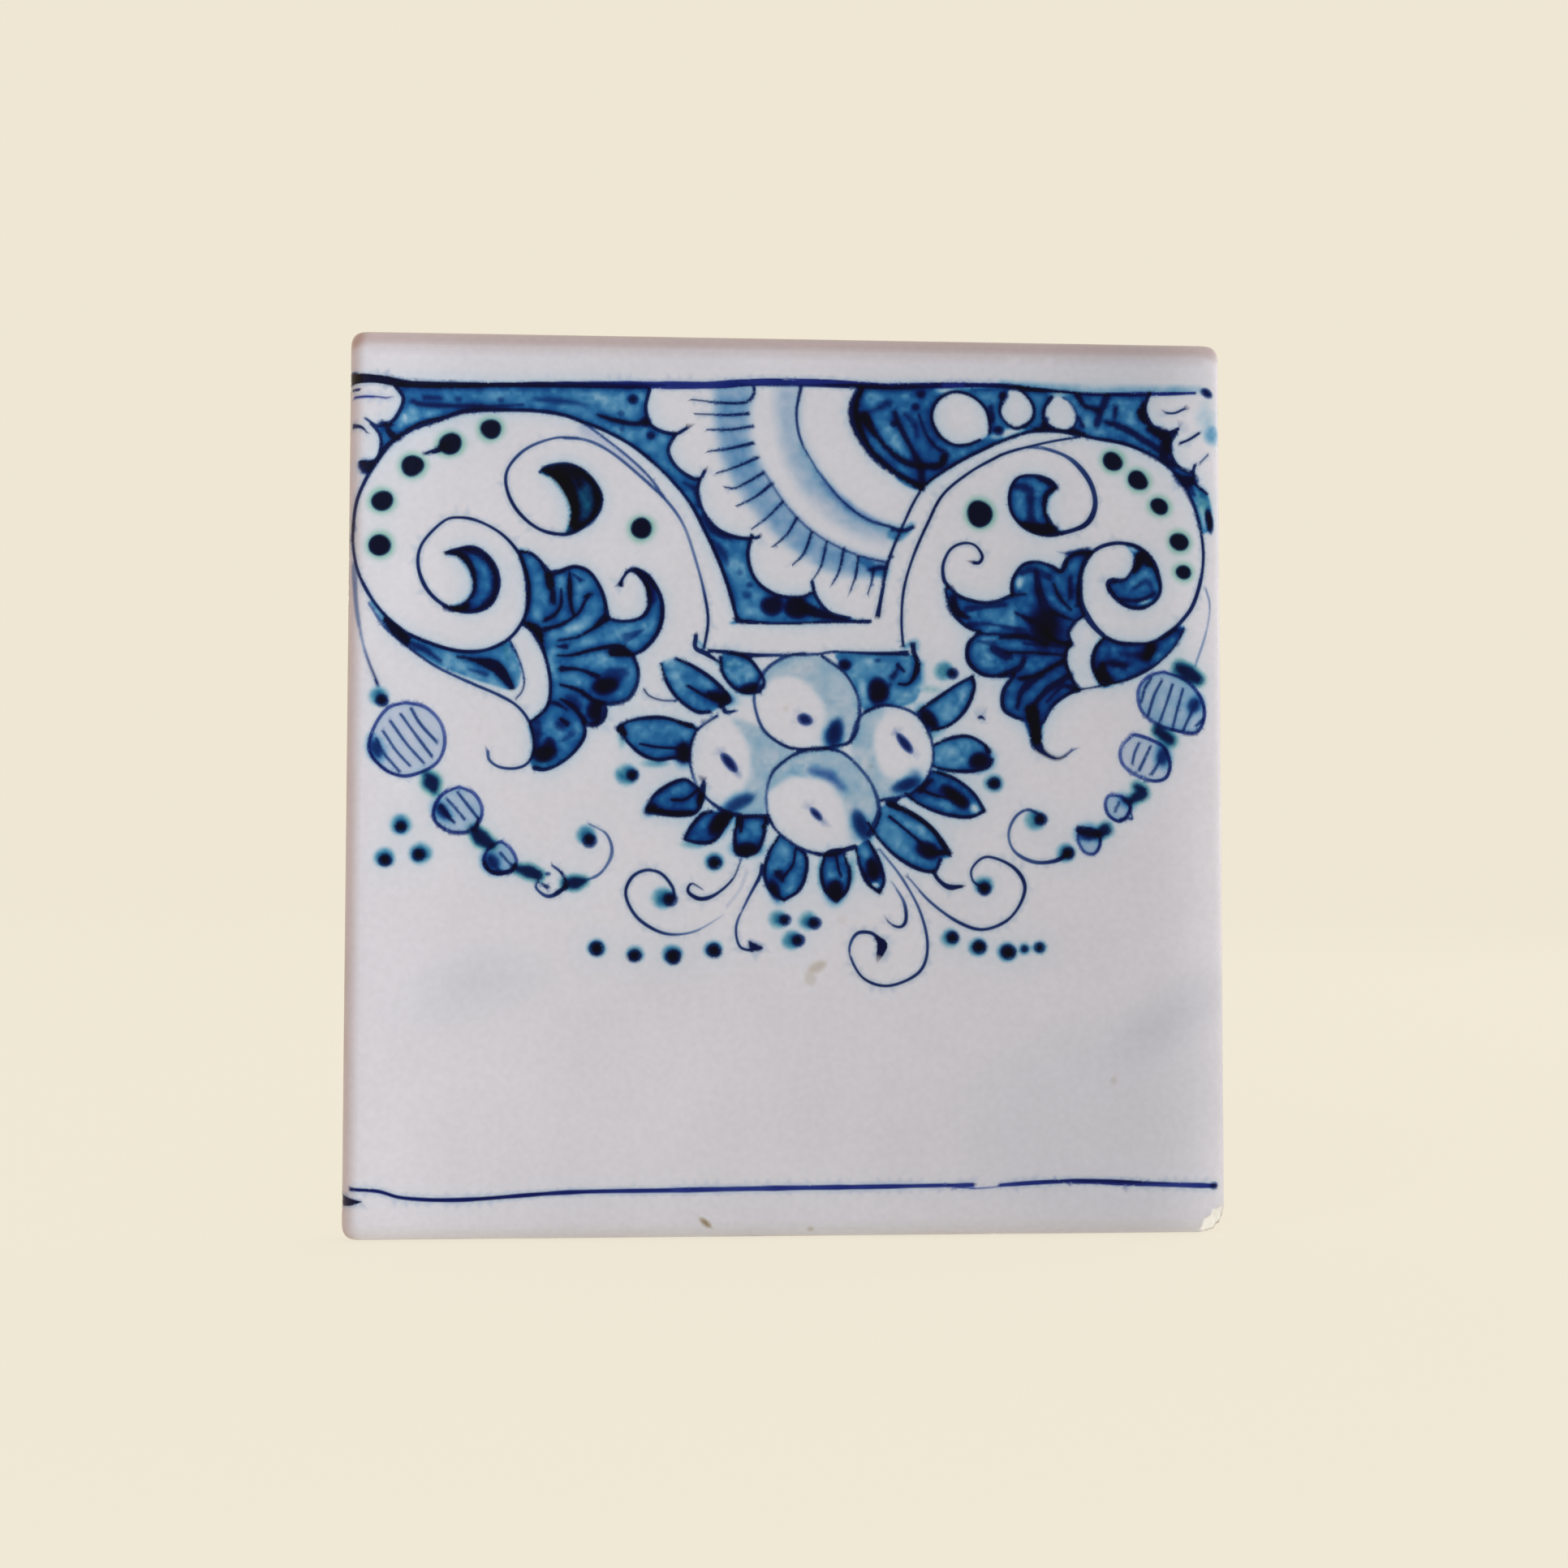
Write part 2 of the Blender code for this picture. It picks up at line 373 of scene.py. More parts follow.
def blue_ground(face):
    """Wash the blue ground between the top line, the scrolls and the shell."""
    lobes = [point for lobe in SHELL_LOBES[:3] for point in lobe[:-1]]
    ground = [(-60.8, 62.5), (-60.8, 62.5), (-41, 62.8), (-22.5, 62.9), (-22.5, 62.9)] + lobes
    ground += SHELL_LOBES[3] + SHELL_LOBES[4] + [(12.5, 25.7), (12.5, 25.7), (-8.4, 25.5), (-8.4, 25.5)]
    ground += LEFT_BORDER[::-1][1:] + LEFT_ARC[::-1][1:8] + [(-60.8, 57), (-60.8, 57)]
    face.wash(ground, 0.95)
    face.line([(-60.8, 62), (-61, 58.3)], 1, 0.8, "blue", 0.3)
    face.line([(-59.8, 59.9), (-57.3, 59.4), (-47.5, 59.4), (-42.5, 59.7)], (0.9, 0.8, 0.3), 0.55, soft=0.25)
    face.line([(-58, 60.6), (-55.5, 60.5)], 0.8, 0.4, soft=0.3)
    face.line([(-41, 60.6), (-34.9, 60.2), (-32.7, 59.7)], (0.3, 1, 0.4), 0.3, soft=0.4)
    face.line([(-30.7, 58.2), (-27.9, 57.4), (-25, 56.9), (-23.2, 57.2)], (0.5, 0.9, 0.9), 0.9, soft=0.2)
    for x, z, size, depth in (
            (-52.6, 60.4, 0.4, 0.5), (-46, 60.4, 0.35, 0.5), (-25.1, 60.8, 0.7, 1),
            (-23.1, 57.2, 0.8, 1), (-22.3, 55, 0.55, 1), (-27, 58.5, 0.35, 0.5), (-26.8, 56, 0.3, 0.4),
            (-3, 28.1, 1.7, 0.9), (1, 27.8, 1.9, 1.1), (-6.5, 31.3, 0.4, 0.5), (-8, 33.3, 0.25, 0.4),
            (-7, 29.8, 0.6, 0.3)):
        face.blot(x, z, size, size * 0.9, depth, soft=0.45)
    face.line([(2.5, 27.6), (5.5, 26.6), (8.8, 25.9)], (2, 0.5), (1.1, 0.8), soft=0.3)
    face.line([(-12.4, 38.4), (-10.8, 36.6), (-10, 34.5)], (0.5, 1.2, 0.3), 0.35, soft=0.4)
    face.line([(-14, 42.2), (-12, 39.7), (-9.5, 38.6)], (0.8, 1.1, 0.5), 0.5, soft=0.3)
    face.line([(-17, 47.6), (-15.2, 46.4), (-14.6, 44)], (0.4, 1, 0.8), 0.4, soft=0.3)


def arch_bands(face):
    """Draw the white bands that frame the shell, with their double lines."""
    face.line(LEFT_ARC, (0.6, 0.6, 0.9, 1, 0.75, 0.7, 0.7), 1)
    face.line(LEFT_BORDER, (0.6, 0.55, 0.7), 1)
    inner = [(-36, 54.5), (-32.2, 54.1), (-28, 51.9), (-22.3, 47.1), (-19.1, 43.9), (-16.9, 40.5),
             (-15.2, 35.6), (-13.8, 30.4), (-13.1, 25.7), (-13.7, 21.3)]
    face.line(inner, 0.5, (0.5, 0.45, 0.5, 0.5, 0.3, 0.4, 0.9, 1))
    face.line([(-33.3, 57.2), (-29.7, 54.6), (-25.5, 51.3), (-22.3, 48.2), (-20.1, 45.1)], 0.45, 0.45)
    face.line([(-33, 56), (-28, 52.8), (-23.4, 48.6), (-20.4, 45.2)], (1.6, 0.4), 0.07, "indigo", 0.5)
    face.line([(-15, 23.3), (-15.1, 21.3), (-13.5, 20.4), (-11.2, 19)], (0.8, 0.8, 0.5), 1)
    face.line([(-14.8, 22.3), (-13.8, 21.4)], 0.7, 0.3, "blue", 0.3)
    face.line([(-8.6, 26.1), (-8.1, 25.6), (-5, 25.35), (1, 25.35), (7, 25.6), (12.6, 25.7)],
              (0.8, 0.5, 0.5, 0.7), 1)
    face.line([(-12.9, 20.8), (-9.5, 20.6), (-7, 20.2), (-3, 20.2), (4, 20.4), (7, 20.8), (14, 20.6),
              (18.6, 20.7)], (0.6, 0.8, 0.5, 0.5, 0.5, 0.8), (1, 1, 0.8, 0.6, 0.8, 1, 1))
    face.line(RIGHT_OUTER, (0.8, 0.55, 0.5, 0.55, 0.5), 1)
    face.line(RIGHT_INNER, 0.5, 1)


def shell(face):
    """Draw the scallop shell that hangs from the top line."""
    for lobe in SHELL_LOBES:
        face.line(lobe, 0.6, 0.95)
    band = [(-12, 62.8), (-12, 62.8), (-11.9, 57), (-10.4, 50.5), (-6, 43.5), (0, 37.6), (7, 33.6),
            (14.9, 32.9), (14.9, 32.9), (15.3, 35.1)] + RIB_EDGE[::-1][1:]
    band += [(-6.3, 53.5), (-6.9, 57), (-6.4, 61.5), (-5.9, 62.9), (-5.9, 62.9)]
    face.wash(band, 0.26, soft=0.6)
    face.wash(band, 0.09, "indigo", 0.7)
    face.line([(-9, 62.4), (-9.3, 57), (-7.6, 50), (-3, 43.7), (3, 38.4), (9, 35.6)], (3.5, 2), 0.14, "blue",
              1.2)
    face.line([(11.5, 35.4), (13.3, 34.1), (14.7, 33.7)], (1.5, 2, 1.9), 0.8, "blue", 0.5)
    face.line([(12.6, 34), (14.6, 34.4)], (0.5, 0.9), 0.7, soft=0.3)
    for rib in RIBS:
        face.line(rib, (0.3, 0.55), 0.8)
    face.line(RIB_EDGE, 0.45, (0.25, 0.6), soft=0.2)
    hollow = [(-2.2, 63.4), (-2.2, 63.4), (-2, 57.5), (-0.3, 50.5), (4, 44.3), (10, 40), (15.9, 38.4),
              (15.9, 38.4), (17.4, 40.3), (17.4, 40.3)] + HOLLOW_EDGE[::-1][1:] + [(1.6, 63.2)]
    face.wash(hollow, 0.15, soft=0.9)
    face.wash(hollow, 0.05, "indigo", 0.9)
    face.wash(hollow, 0.08, "grey", 0.9)
    face.line([(1.5, 53.5), (4.5, 48.2), (8.6, 44), (12, 41.8), (17, 40)], (0.8, 2, 2.2, 1.5, 2), 0.3, "blue",
              0.9)
    face.line([(5, 48), (9.5, 43.8), (14, 41.4)], (0.8, 1.4, 0.8), 0.16, "indigo", 0.6)
    face.line(HOLLOW_EDGE[:4], (0.55, 0.35), (0.85, 0.4))
    face.line(HOLLOW_EDGE[3:], 0.45, (0.3, 0.8))
    face.line([(16.2, 40.4), (18, 40.3), (19.6, 40.9)], (0.5, 0.8, 0.6), 0.7)
    face.line([(16, 39.6), (17.4, 39.3), (19.4, 41.2)], (1.6, 1), 0.5, "blue", 0.4)
    face.blot(16.2, 36.1, 0.35, 0.18, 0.8, soft=0.15)


def dark_hollow(face):
    """Paint the deep blue heart of the shell, in thick strokes that follow its rim."""
    heart = [(11.2, 63.3)] + DARK_EDGE + [(21, 47), (25.5, 50.6), (31, 53.6), (36, 55.8), (36, 55.8),
                                          (36, 63.5), (36, 63.5), (11.2, 63.3)]
    face.wash(heart, 1.2)
    face.wash([(17, 48.9), (18.6, 47.4), (21, 46.9), (20.6, 48.4)], 0.8)
    face.line(DARK_EDGE, (1.2, 1.7, 1.9, 1.4, 1.2, 1, 0.9), 1.25, soft=0.25)
    face.line([(11.8, 58.6), (13.2, 56.2), (16, 53), (19, 51.1), (22, 50.7), (24, 51), (24.7, 52.4)],
              (1.8, 0.8, 0.9, 1.1, 1.3), (1.2, 0.85, 1.2), soft=0.3)
    face.line([(16.6, 59.4), (17.6, 56.8), (19.7, 52.8), (20.8, 50.6), (21, 48)], (0.8, 1.1, 0.8, 1.2, 1.4),
              0.75, soft=0.25)
    face.line([(20.6, 59), (21.6, 56), (23.3, 53.8), (24.5, 53.2)], (0.5, 0.8), 0.6, soft=0.25)
    face.line([(12.6, 59.3), (15.5, 60.8)], (0.5, 1.2), 0.35, soft=0.4)
    face.line([(14, 52.6), (17, 50.6), (20, 49.6)], (1, 1.3, 0.9), 0.35, "blue", 0.3)
    for x, z, size in (
            (20.9, 62.3, 0.6), (20, 60.3, 0.55), (16.5, 57.5, 0.5), (34.2, 62.3, 0.7),
            (33.4, 56.6, 0.75)):
        face.blot(x, z, size, size * 0.85, 0.9)
    face.line([(18.2, 59.2), (19.8, 57.6), (20.2, 55.5)], (0.6, 1, 0.5), 0.35, soft=0.4)
    circle = [(30.4, 55.1), (28.3, 54.3), (26, 54.3), (23.8, 55.8), (22.6, 58.5), (23.4, 61.2), (26, 62.8),
              (29, 62.2), (31.2, 60.3), (31.9, 58), (31.9, 56.2)]
    face.reserve(circle)
    face.reserve([(22.8, 63.3), (25.6, 63.6), (29, 63.3), (26.8, 62.9), (24.4, 62.4)], 0.3)
    face.line(circle, (0.5, 0.6, 0.7, 0.5, 0.6), 1)
    face.line([(32.2, 60.5), (32.4, 58.2)], (0.6, 1), 0.6, soft=0.3)
    face.reserve([(31.6, 55.8), (33, 56.2), (35, 56.8), (36, 56.6), (33, 55.3)], 0.3)


def left_edge(face):
    """Draw the cut flower at the left edge, white on blue."""
    lobe = [(-62.6, 62.4), (-61.3, 60.6), (-61.6, 58.9), (-62.9, 56.8), (-65.2, 56), (-67.2, 57.2)]
    lower = [(-66.3, 56.4), (-64.8, 54.4), (-64.8, 52), (-65.7, 50.4), (-67.9, 50.3)]
    face.wash([(-60.8, 62.4), (-60.8, 62.4),
              (-62.4, 62.4)] + lobe[1:5] + lower[1:] + [(-66.8, 48.5)] + LEFT_ARC[3:7] + [(-60.8, 57)], 0.85)
    face.line(lobe, (0.6, 0.7, 0.35), (1, 1, 0.6))
    face.line([(-69, 60.6), (-66, 60.6), (-63.9, 60.4)], 0.4, 0.9, "indigo")
    face.line([(-69.3, 61.8), (-68.2, 61.8)], 0.5, 0.8)
    face.line(lower, 0.6, 1)
    face.line([(-69.2, 56.1), (-67.8, 55.8), (-66.9, 54.9)], (0.8, 0.3), 1)
    face.wash([(-68.2, 50.2), (-65.5, 50.4), (-66.4, 48.6), (-67.6, 48.5)], 1, "ink")
    face.line([(-63.8, 55.8), (-63.3, 54.9), (-62, 53.9)], (0.8, 1.1, 0.9), 1)
    face.line([(-64.6, 56.6), (-63.2, 56.2)], 0.7, 0.8)


def left_scroll(face):
    """Draw the large scroll on the left with its two volutes."""
    face.line([(-33.8, 54.5), (-37.6, 54.4), (-42, 52.6), (-44.8, 49.4), (-44.9, 46.1), (-43.1, 42.6),
              (-39.8, 39.9), (-35.9, 39.1), (-33.1, 40.2), (-30.6, 42.7), (-30.2, 45.6), (-32.4, 48.8),
              (-35.4, 50.3), (-38.6, 49.9), (-39.8, 48.9)], (0.4, 0.55, 0.6, 0.8, 0.5),
              (0.45, 0.6, 1, 1, 1, 1, 0.6))
    upper = [(-39.6, 49), (-37.6, 47.8), (-35.9, 45.6), (-34.9, 42.8), (-35.3, 40.2), (-35.6, 39.2),
             (-33.1, 40.2), (-30.6, 42.7), (-30.2, 45.6), (-32.4, 48.8), (-35.4, 50.3), (-38.6, 49.9)]
    face.wash(upper, 1.5)
    face.wash(upper, 0.7, "green", 0.2)
    face.line([(-39.2, 49.4), (-36.7, 48.4), (-35, 46), (-34.1, 43), (-34.5, 40.6)], (0.6, 2.2, 2, 1.4, 1.2),
              1.15, soft=0.3)
    face.line([(-37.2, 49.8), (-34.4, 48.8), (-33.4, 47)], (0.8, 1.6, 0.8), 0.8, soft=0.5)
    face.line([(-33.6, 49.3), (-31.4, 47.2), (-30.8, 44.4), (-31.6, 41.6), (-34, 40.2)], 1, 0.8, soft=0.35)
    volute = [(-41.6, 29.6), (-41.5, 31.9), (-42.8, 35.7), (-45.5, 38.9), (-49.2, 41), (-52.4, 41.6),
              (-54.9, 40.9), (-58.1, 37.4), (-58.7, 33.9), (-57.3, 30.2), (-54.4, 27.6), (-50.7, 26.7),
              (-47.5, 27.8), (-46.1, 31.1), (-47.2, 34.7), (-49.9, 36.8), (-52.9, 36.4), (-54.4, 35.9)]
    face.line(volute, (0.6, 0.5, 0.8, 0.7), 1)
    crescent = [(-54.4, 35.9), (-52.4, 35.3), (-50.9, 33.4), (-50.2, 30.8), (-51.2, 28.6), (-53.4, 27.3),
                (-50.7, 26.7), (-47.5, 27.8), (-46.1, 31.1), (-47.2, 34.7), (-49.9, 36.8), (-52.9, 36.4)]
    face.wash(crescent, 1.3)
    face.line([(-54.2, 36), (-52.3, 35.8), (-50.6, 34.2), (-49.8, 31.6), (-50.1, 29.4), (-51.4, 28)],
              (0.4, 1.2, 1, 0.7, 0.6, 0.5), 1, soft=0.25)
    face.line([(-54.6, 27.5), (-52.6, 27.1), (-50.8, 27.7)], (0.6, 1.3, 0.9), 1.2)
    face.line([(-51.4, 36.6), (-48.4, 35.2), (-46.8, 32.4), (-47.1, 29.5), (-48.8, 27.4)], 0.6, 0.7, soft=0.3)
    face.line([(-41.5, 29.6), (-42, 25.9), (-44.3, 22.6), (-48, 20.7), (-52.4, 20.5), (-57.3, 21.9),
              (-61.5, 24), (-65.2, 27.7), (-67.9, 32.4), (-69, 36.8), (-69.1, 40.5)], (0.6, 0.6), 1)


def left_dots(face):
    """Drop the green-black dots inside the left scroll."""
    for x, z, wide, tall in (
            (-47.5, 55.7, 1.55, 1.5), (-53.9, 53.25, 1.8, 1.6), (-59.7, 49.7, 1.7, 1.6),
            (-64.4, 44.1, 1.65, 1.5), (-64.7, 37.1, 1.7, 1.6), (-23.7, 40.2, 1.6, 1.6)):
        face.green_dot(x, z, wide, tall, 20)
    face.line([(-54.5, 53), (-56, 52.2), (-57.7, 51.7)], (1.6, 0.4), 1.2)


def left_spur(face):
    """Draw the blue spur under the left scroll, and the white crescent beside it."""
    lower = [(-66.3, 27.9), (-63.8, 24.2), (-60.3, 21.2), (-55.9, 18.1), (-50.9, 15.7), (-46, 13.6),
             (-43, 11.8), (-41.1, 9.2), (-40.4, 5.6), (-41.2, 3.1), (-43, 2.1), (-45.6, 2.2),
             (-47.3, 3.3), (-47.6, 4.7)]
    face.wash([(-61.8, 23.6), (-60.3, 21.6), (-55.9, 18.5), (-50.9, 16.4), (-46.5, 15), (-43.6, 14.4),
              (-42.6, 16.4), (-43.2, 19.6), (-44.5, 22), (-48, 20.7), (-52.4, 20.5), (-57.3, 21.9)], 0.75)
    face.line([(-66, 28.2), (-63.6, 25), (-61, 22.8)], (0.3, 1.3, 1), 0.4, "blue", 0.25)
    face.line([(-63.8, 25.4), (-62, 23.6), (-60.4, 22)], (0.6, 1.5, 1.4), 1.3)
    face.line([(-60.4, 21.6), (-58, 20.9), (-55, 18.9)], (1, 1.1, 0.4), 0.5, soft=0.3)
    face.line([(-52.5, 19.6), (-49, 18.9), (-46.4, 18), (-45, 16.4), (-43.9, 14.8)],
              (0.4, 0.6, 1.8, 1.9, 0.9), 1, soft=0.2)
    face.line([(-50.5, 17.6), (-48, 16.8)], (0.3, 0.9), 0.35, soft=0.3)
    face.line([(-45, 21.4), (-44.6, 19)], (0.7, 0.4), 0.3, "green", 0.3)
    face.line(lower, 0.5, (0.3, 0.8, 0.7, 0.8, 1, 0.5))
    face.line([(-44.2, 22), (-42.7, 19), (-42, 15.8), (-42.4, 14.1), (-43.1, 13.3)], 0.35, (0.8, 0.5, 0.8))


# Lines of the right side that several strokes share
RIGHT_ARC = [(36, 55.8), (39, 56.6), (43.5, 56.6), (48.5, 55.7), (55, 54.4), (61, 51.1), (64.6, 46),
             (66.3, 40), (66.4, 34.5), (64.8, 28.8), (62, 25.1)]
RIGHT_LOBES = [
    [(58, 63.1), (57.2, 60.5), (58.4, 57.8), (60.6, 56.7), (62.7, 57.4)],
    [(62.3, 56.8), (61.2, 54.6), (62.2, 51.6), (64.6, 50.3), (65.3, 51.5)],
    [(65.1, 50.3), (65.2, 48.6), (67.2, 46.9)]]


# Dark streaks in the ground to the right of the shell: course, width and strength
RIGHT_STREAKS = [
    ([(46.2, 62.6), (47.3, 60.9), (49.6, 60.2)], (1, 0.8, 0.9), 0.85),
    ([(51, 62.4), (50, 60), (49.3, 57.8)], (1.1, 1.3, 1.2), 0.6),
    ([(52.4, 60.6), (52.2, 59)], (0.8, 0.6), 0.6),
    ([(50.8, 58.3), (54, 57.2), (57, 55.4), (59.6, 53.8)], (0.8, 1.2, 1.1, 1), 0.65),
    ([(57, 61.4), (56.5, 59.6), (57.6, 58)], (0.6, 1.4, 0.6), 1.1),
    ([(58, 57.3), (60.3, 56.2), (61, 54)], (1.2, 2, 1.2), 1.0),
    ([(60.4, 54.6), (60.3, 52.4), (62, 51.4)], (1.5, 1.7, 1), 0.8),
    ([(62, 49.9), (63.6, 48.8), (65, 49)], (0.8, 2, 1.6), 0.9),
    ([(39.2, 57), (40.4, 57), (41.2, 58.6)], (0.6, 1.2, 0.6), 0.9),
    ([(45.2, 56.9), (47.4, 56.3)], (0.9, 0.4), 1),
    ([(46.4, 58.9), (47, 57.6)], (0.5, 0.8), 0.6),
    ([(65.2, 46.6), (64.4, 47.8)], (0.5, 1.3), 0.5)]


def right_ground(face):
    """Wash the blue ground to the right of the shell, round two more white discs and the cut flower."""
    lobes = [point for lobe in RIGHT_LOBES for point in lobe[:-1]]
    ground = [(35.9, 63.6), (35.9, 63.6), (46, 63.1), (58, 63), (58, 63)] + lobes
    ground += [(67.2, 47), (68, 44.5), (68.2, 41.5), (67.2, 40.6),
               (66.2, 41)] + RIGHT_ARC[6::-1] + [(35.9, 55.8)]
    face.wash(ground, 1.0)
    second = [(34.3, 62.2), (33.6, 59.6), (34.9, 57.7), (36.6, 57.1), (38.7, 58.4), (39.1, 60.4), (38, 62.3),
              (36.2, 63.6)]
    third = [(42, 62.2), (40.8, 60.2), (41, 57.9), (43, 56.9), (45.2, 57.1), (46.1, 59.2), (45.1, 61.3),
             (43.8, 62.1)]
    for disc in (second, third):
        face.reserve(disc)
    face.reserve([(42, 62.2), (44, 62.3), (45.6, 62.9), (43, 63.1), (41.4, 62.8)], 0.3)
    face.reserve([(34, 56.4), (35.6, 57), (38, 56.9), (36, 56.1), (34.2, 55.5)], 0.2)
    face.line(second, (0.9, 0.45, 0.7, 0.6, 0.4), 1)
    face.line(third, (0.8, 0.7, 0.9, 0.5, 0.4, 0.35, 0.3), (1, 1, 0.4))
    for streak, width, ink in RIGHT_STREAKS:
        face.line(streak, width, ink, soft=0.28)
    face.reserve([(65.9, 44.8), (66.9, 44.2), (67.2, 41.5), (66.6, 40.8)], 0.35)
    face.blot(67.6, 42.5, 0.62, 1.8, 1.3, turn=8)
    face.wash([(65.6, 46.5), (67, 46.9), (67.8, 44.9), (66.6, 43)], 0.35, "green", 0.4)
    for lobe in RIGHT_LOBES:
        face.line(lobe, 0.6, 1)
    face.line([(60.5, 59.9), (62, 59.9), (63.6, 60.6)], 0.4, 0.8)
    face.line([(62.9, 55), (64.5, 55.7), (66, 56.7)], 0.45, 0.95)
    face.line([(66.4, 52.1), (67.5, 53.2)], 0.35, 0.6)
    face.blot(68.2, 56.5, 1.3, 1.4, 0.5, "blue", 0.8)
    face.blot(67.3, 59.5, 1.6, 2.2, 0.14, "blue", 1.2)


def right_scroll(face):
    """Draw the large scroll on the right with its two volutes."""
    face.line(RIGHT_ARC, (0.55, 0.6, 0.5, 0.5, 0.8), 1)
    face.line([(33.7, 52.7), (36, 53.5), (40.2, 54.6), (43, 55.2), (46.5, 55.8)], (0.55, 0.4), 0.9)
    volute = [(38, 54), (41, 53.8), (45, 52.2), (48, 48.8), (49, 45), (47.6, 41.8), (44, 40.3), (40.8, 39.9),
              (37.6, 41), (35.4, 43.6), (35.2, 46.8), (36.6, 49.1), (39.6, 49.4), (41.9, 48.6), (42.8, 47.4)]
    face.line(volute, (0.5, 0.6, 0.9, 0.9, 0.7, 0.6, 0.55, 0.5, 0.6), (0.4, 0.7, 1, 1, 1, 0.8))
    crescent = [(42.7, 47.4), (41.5, 45.8), (41.2, 43.4), (42.2, 41.2), (44, 40.3), (40.8, 39.9), (37.6, 41),
                (35.4, 43.6), (35.2, 46.8), (36.6, 49.1), (39.6, 49.4), (41.9, 48.6)]
    face.wash(crescent, 1.2)
    face.line([(42.6, 47.6), (41, 46.2), (40.8, 43.6), (41.8, 41.4)], (0.9, 0.9, 0.7, 1), 0.95, soft=0.2)
    face.line([(37.2, 41.6), (39.5, 40.9), (42.4, 40.9)], (1, 1.9, 1.2), 1.1, soft=0.25)
    face.line([(36.2, 47.7), (38.3, 47), (38.5, 43.6), (38.6, 41.8)], (0.9, 1.7, 1, 1.6), 0.45, soft=0.4)
    face.line([(39.6, 49.1), (41.7, 48.2)], (0.6, 0.9), 0.7, soft=0.2)
    lower = [(48.3, 37.1), (50.2, 38.2), (53, 38.7), (56, 38), (58.2, 35.9), (59.5, 32), (58.8, 29.6),
             (56.3, 28.2), (53.5, 28.8), (51.3, 31), (51.1, 32.4), (52, 32.7)]
    face.line(lower, (0.7, 0.6, 0.9, 0.6, 0.7, 0.9), 1)
    face.wash([(52, 32.5), (54.3, 33), (55.4, 35), (55, 37), (54, 38.5), (56, 38), (58.2, 35.9), (59.5, 32),
              (58.8, 29.6), (56.3, 28.2), (53.5, 28.8), (51.3, 31), (51.2, 32.2)], 1.2)
    face.line([(55.3, 34.2), (56.6, 36.6), (57.8, 35.4)], (0.9, 2.2, 1.2), 1.15, soft=0.25)
    face.line([(52, 32.6), (54, 33), (55.3, 34.8)], (0.9, 0.6, 0.6), 1)
    face.line([(55.2, 31.4), (57.4, 32.6), (58.4, 30.8)], (0.4, 0.9, 0.5), 0.35, soft=0.35)
    face.line([(53, 29.6), (56, 29.5), (58.6, 30.6)], 0.7, 0.6, soft=0.2)
    face.reserve([(54.2, 38.1), (55.2, 37.3), (56, 37.4), (55.2, 38)], 0.2)
    face.reserve([(55.6, 28.9), (57, 28.9), (58.4, 29.8), (57, 29.4)], 0.15)
    face.line([(48.3, 37.1), (46.9, 34.6), (46.4, 31), (47, 27.9), (49, 24.9), (51.6, 23), (54.8, 22.5),
              (58.5, 22.9), (62, 25.1)], (0.9, 0.9, 1.2, 0.7, 0.6, 0.8), 1)
    for x, z, wide, tall in (
            (51.9, 51.9, 1.6, 1.4), (56, 48.9, 1.65, 1.4), (59.4, 44.7, 1.45, 1.2),
            (62.6, 39, 1.5, 1.35), (63.3, 34.1, 1.2, 1.05)):
        face.green_dot(x, z, wide, tall, -30)
    face.green_dot(30.3, 43.2, 2.0, 2.1)
    face.line([(29.3, 35.3), (30.2, 35.3), (30.7, 36.4), (29.5, 38.1), (27.6, 38.4), (25.6, 37.4), (24.4, 35),
              (24.5, 32.6), (25.2, 31.4)], (0.6, 0.45, 0.6, 0.7), 1)


def right_spur(face):
    """Draw the dark spur under the right scroll."""
    face.wash([(50.2, 23.5), (52.4, 22.7), (54.8, 22.4), (58, 22.7), (61.5, 24.7), (63.5, 25.1), (61.2, 21.5),
              (57, 18.1), (52, 16), (49.8, 15.6), (48.5, 18.6), (48.8, 21.4)], 1.7)
    face.line([(50.2, 23.4), (48.7, 21.2), (48.5, 18.6), (49.7, 16)], (0.5, 0.7, 0.5), 1)
    face.line([(46.3, 15), (50, 15.7), (54.5, 16.9), (58.5, 19), (61.6, 21.9), (63.4, 24.9)], (0.3, 0.5, 0.3),
              0.95)
    face.line([(50.2, 19.2), (49.9, 17.4), (51.5, 16.6)], (1, 2.2, 0.8), 1.05, soft=0.35)
    face.line([(51.2, 19.4), (53.6, 19)], (1, 1.2), 0.6, soft=0.4)
    face.line([(57.2, 20.3), (58, 21.9)], (1.4, 1.9), 0.95, soft=0.35)
    face.line([(53, 20.8), (56.2, 20.6)], (0.6, 1.2), 0.3, soft=0.4)


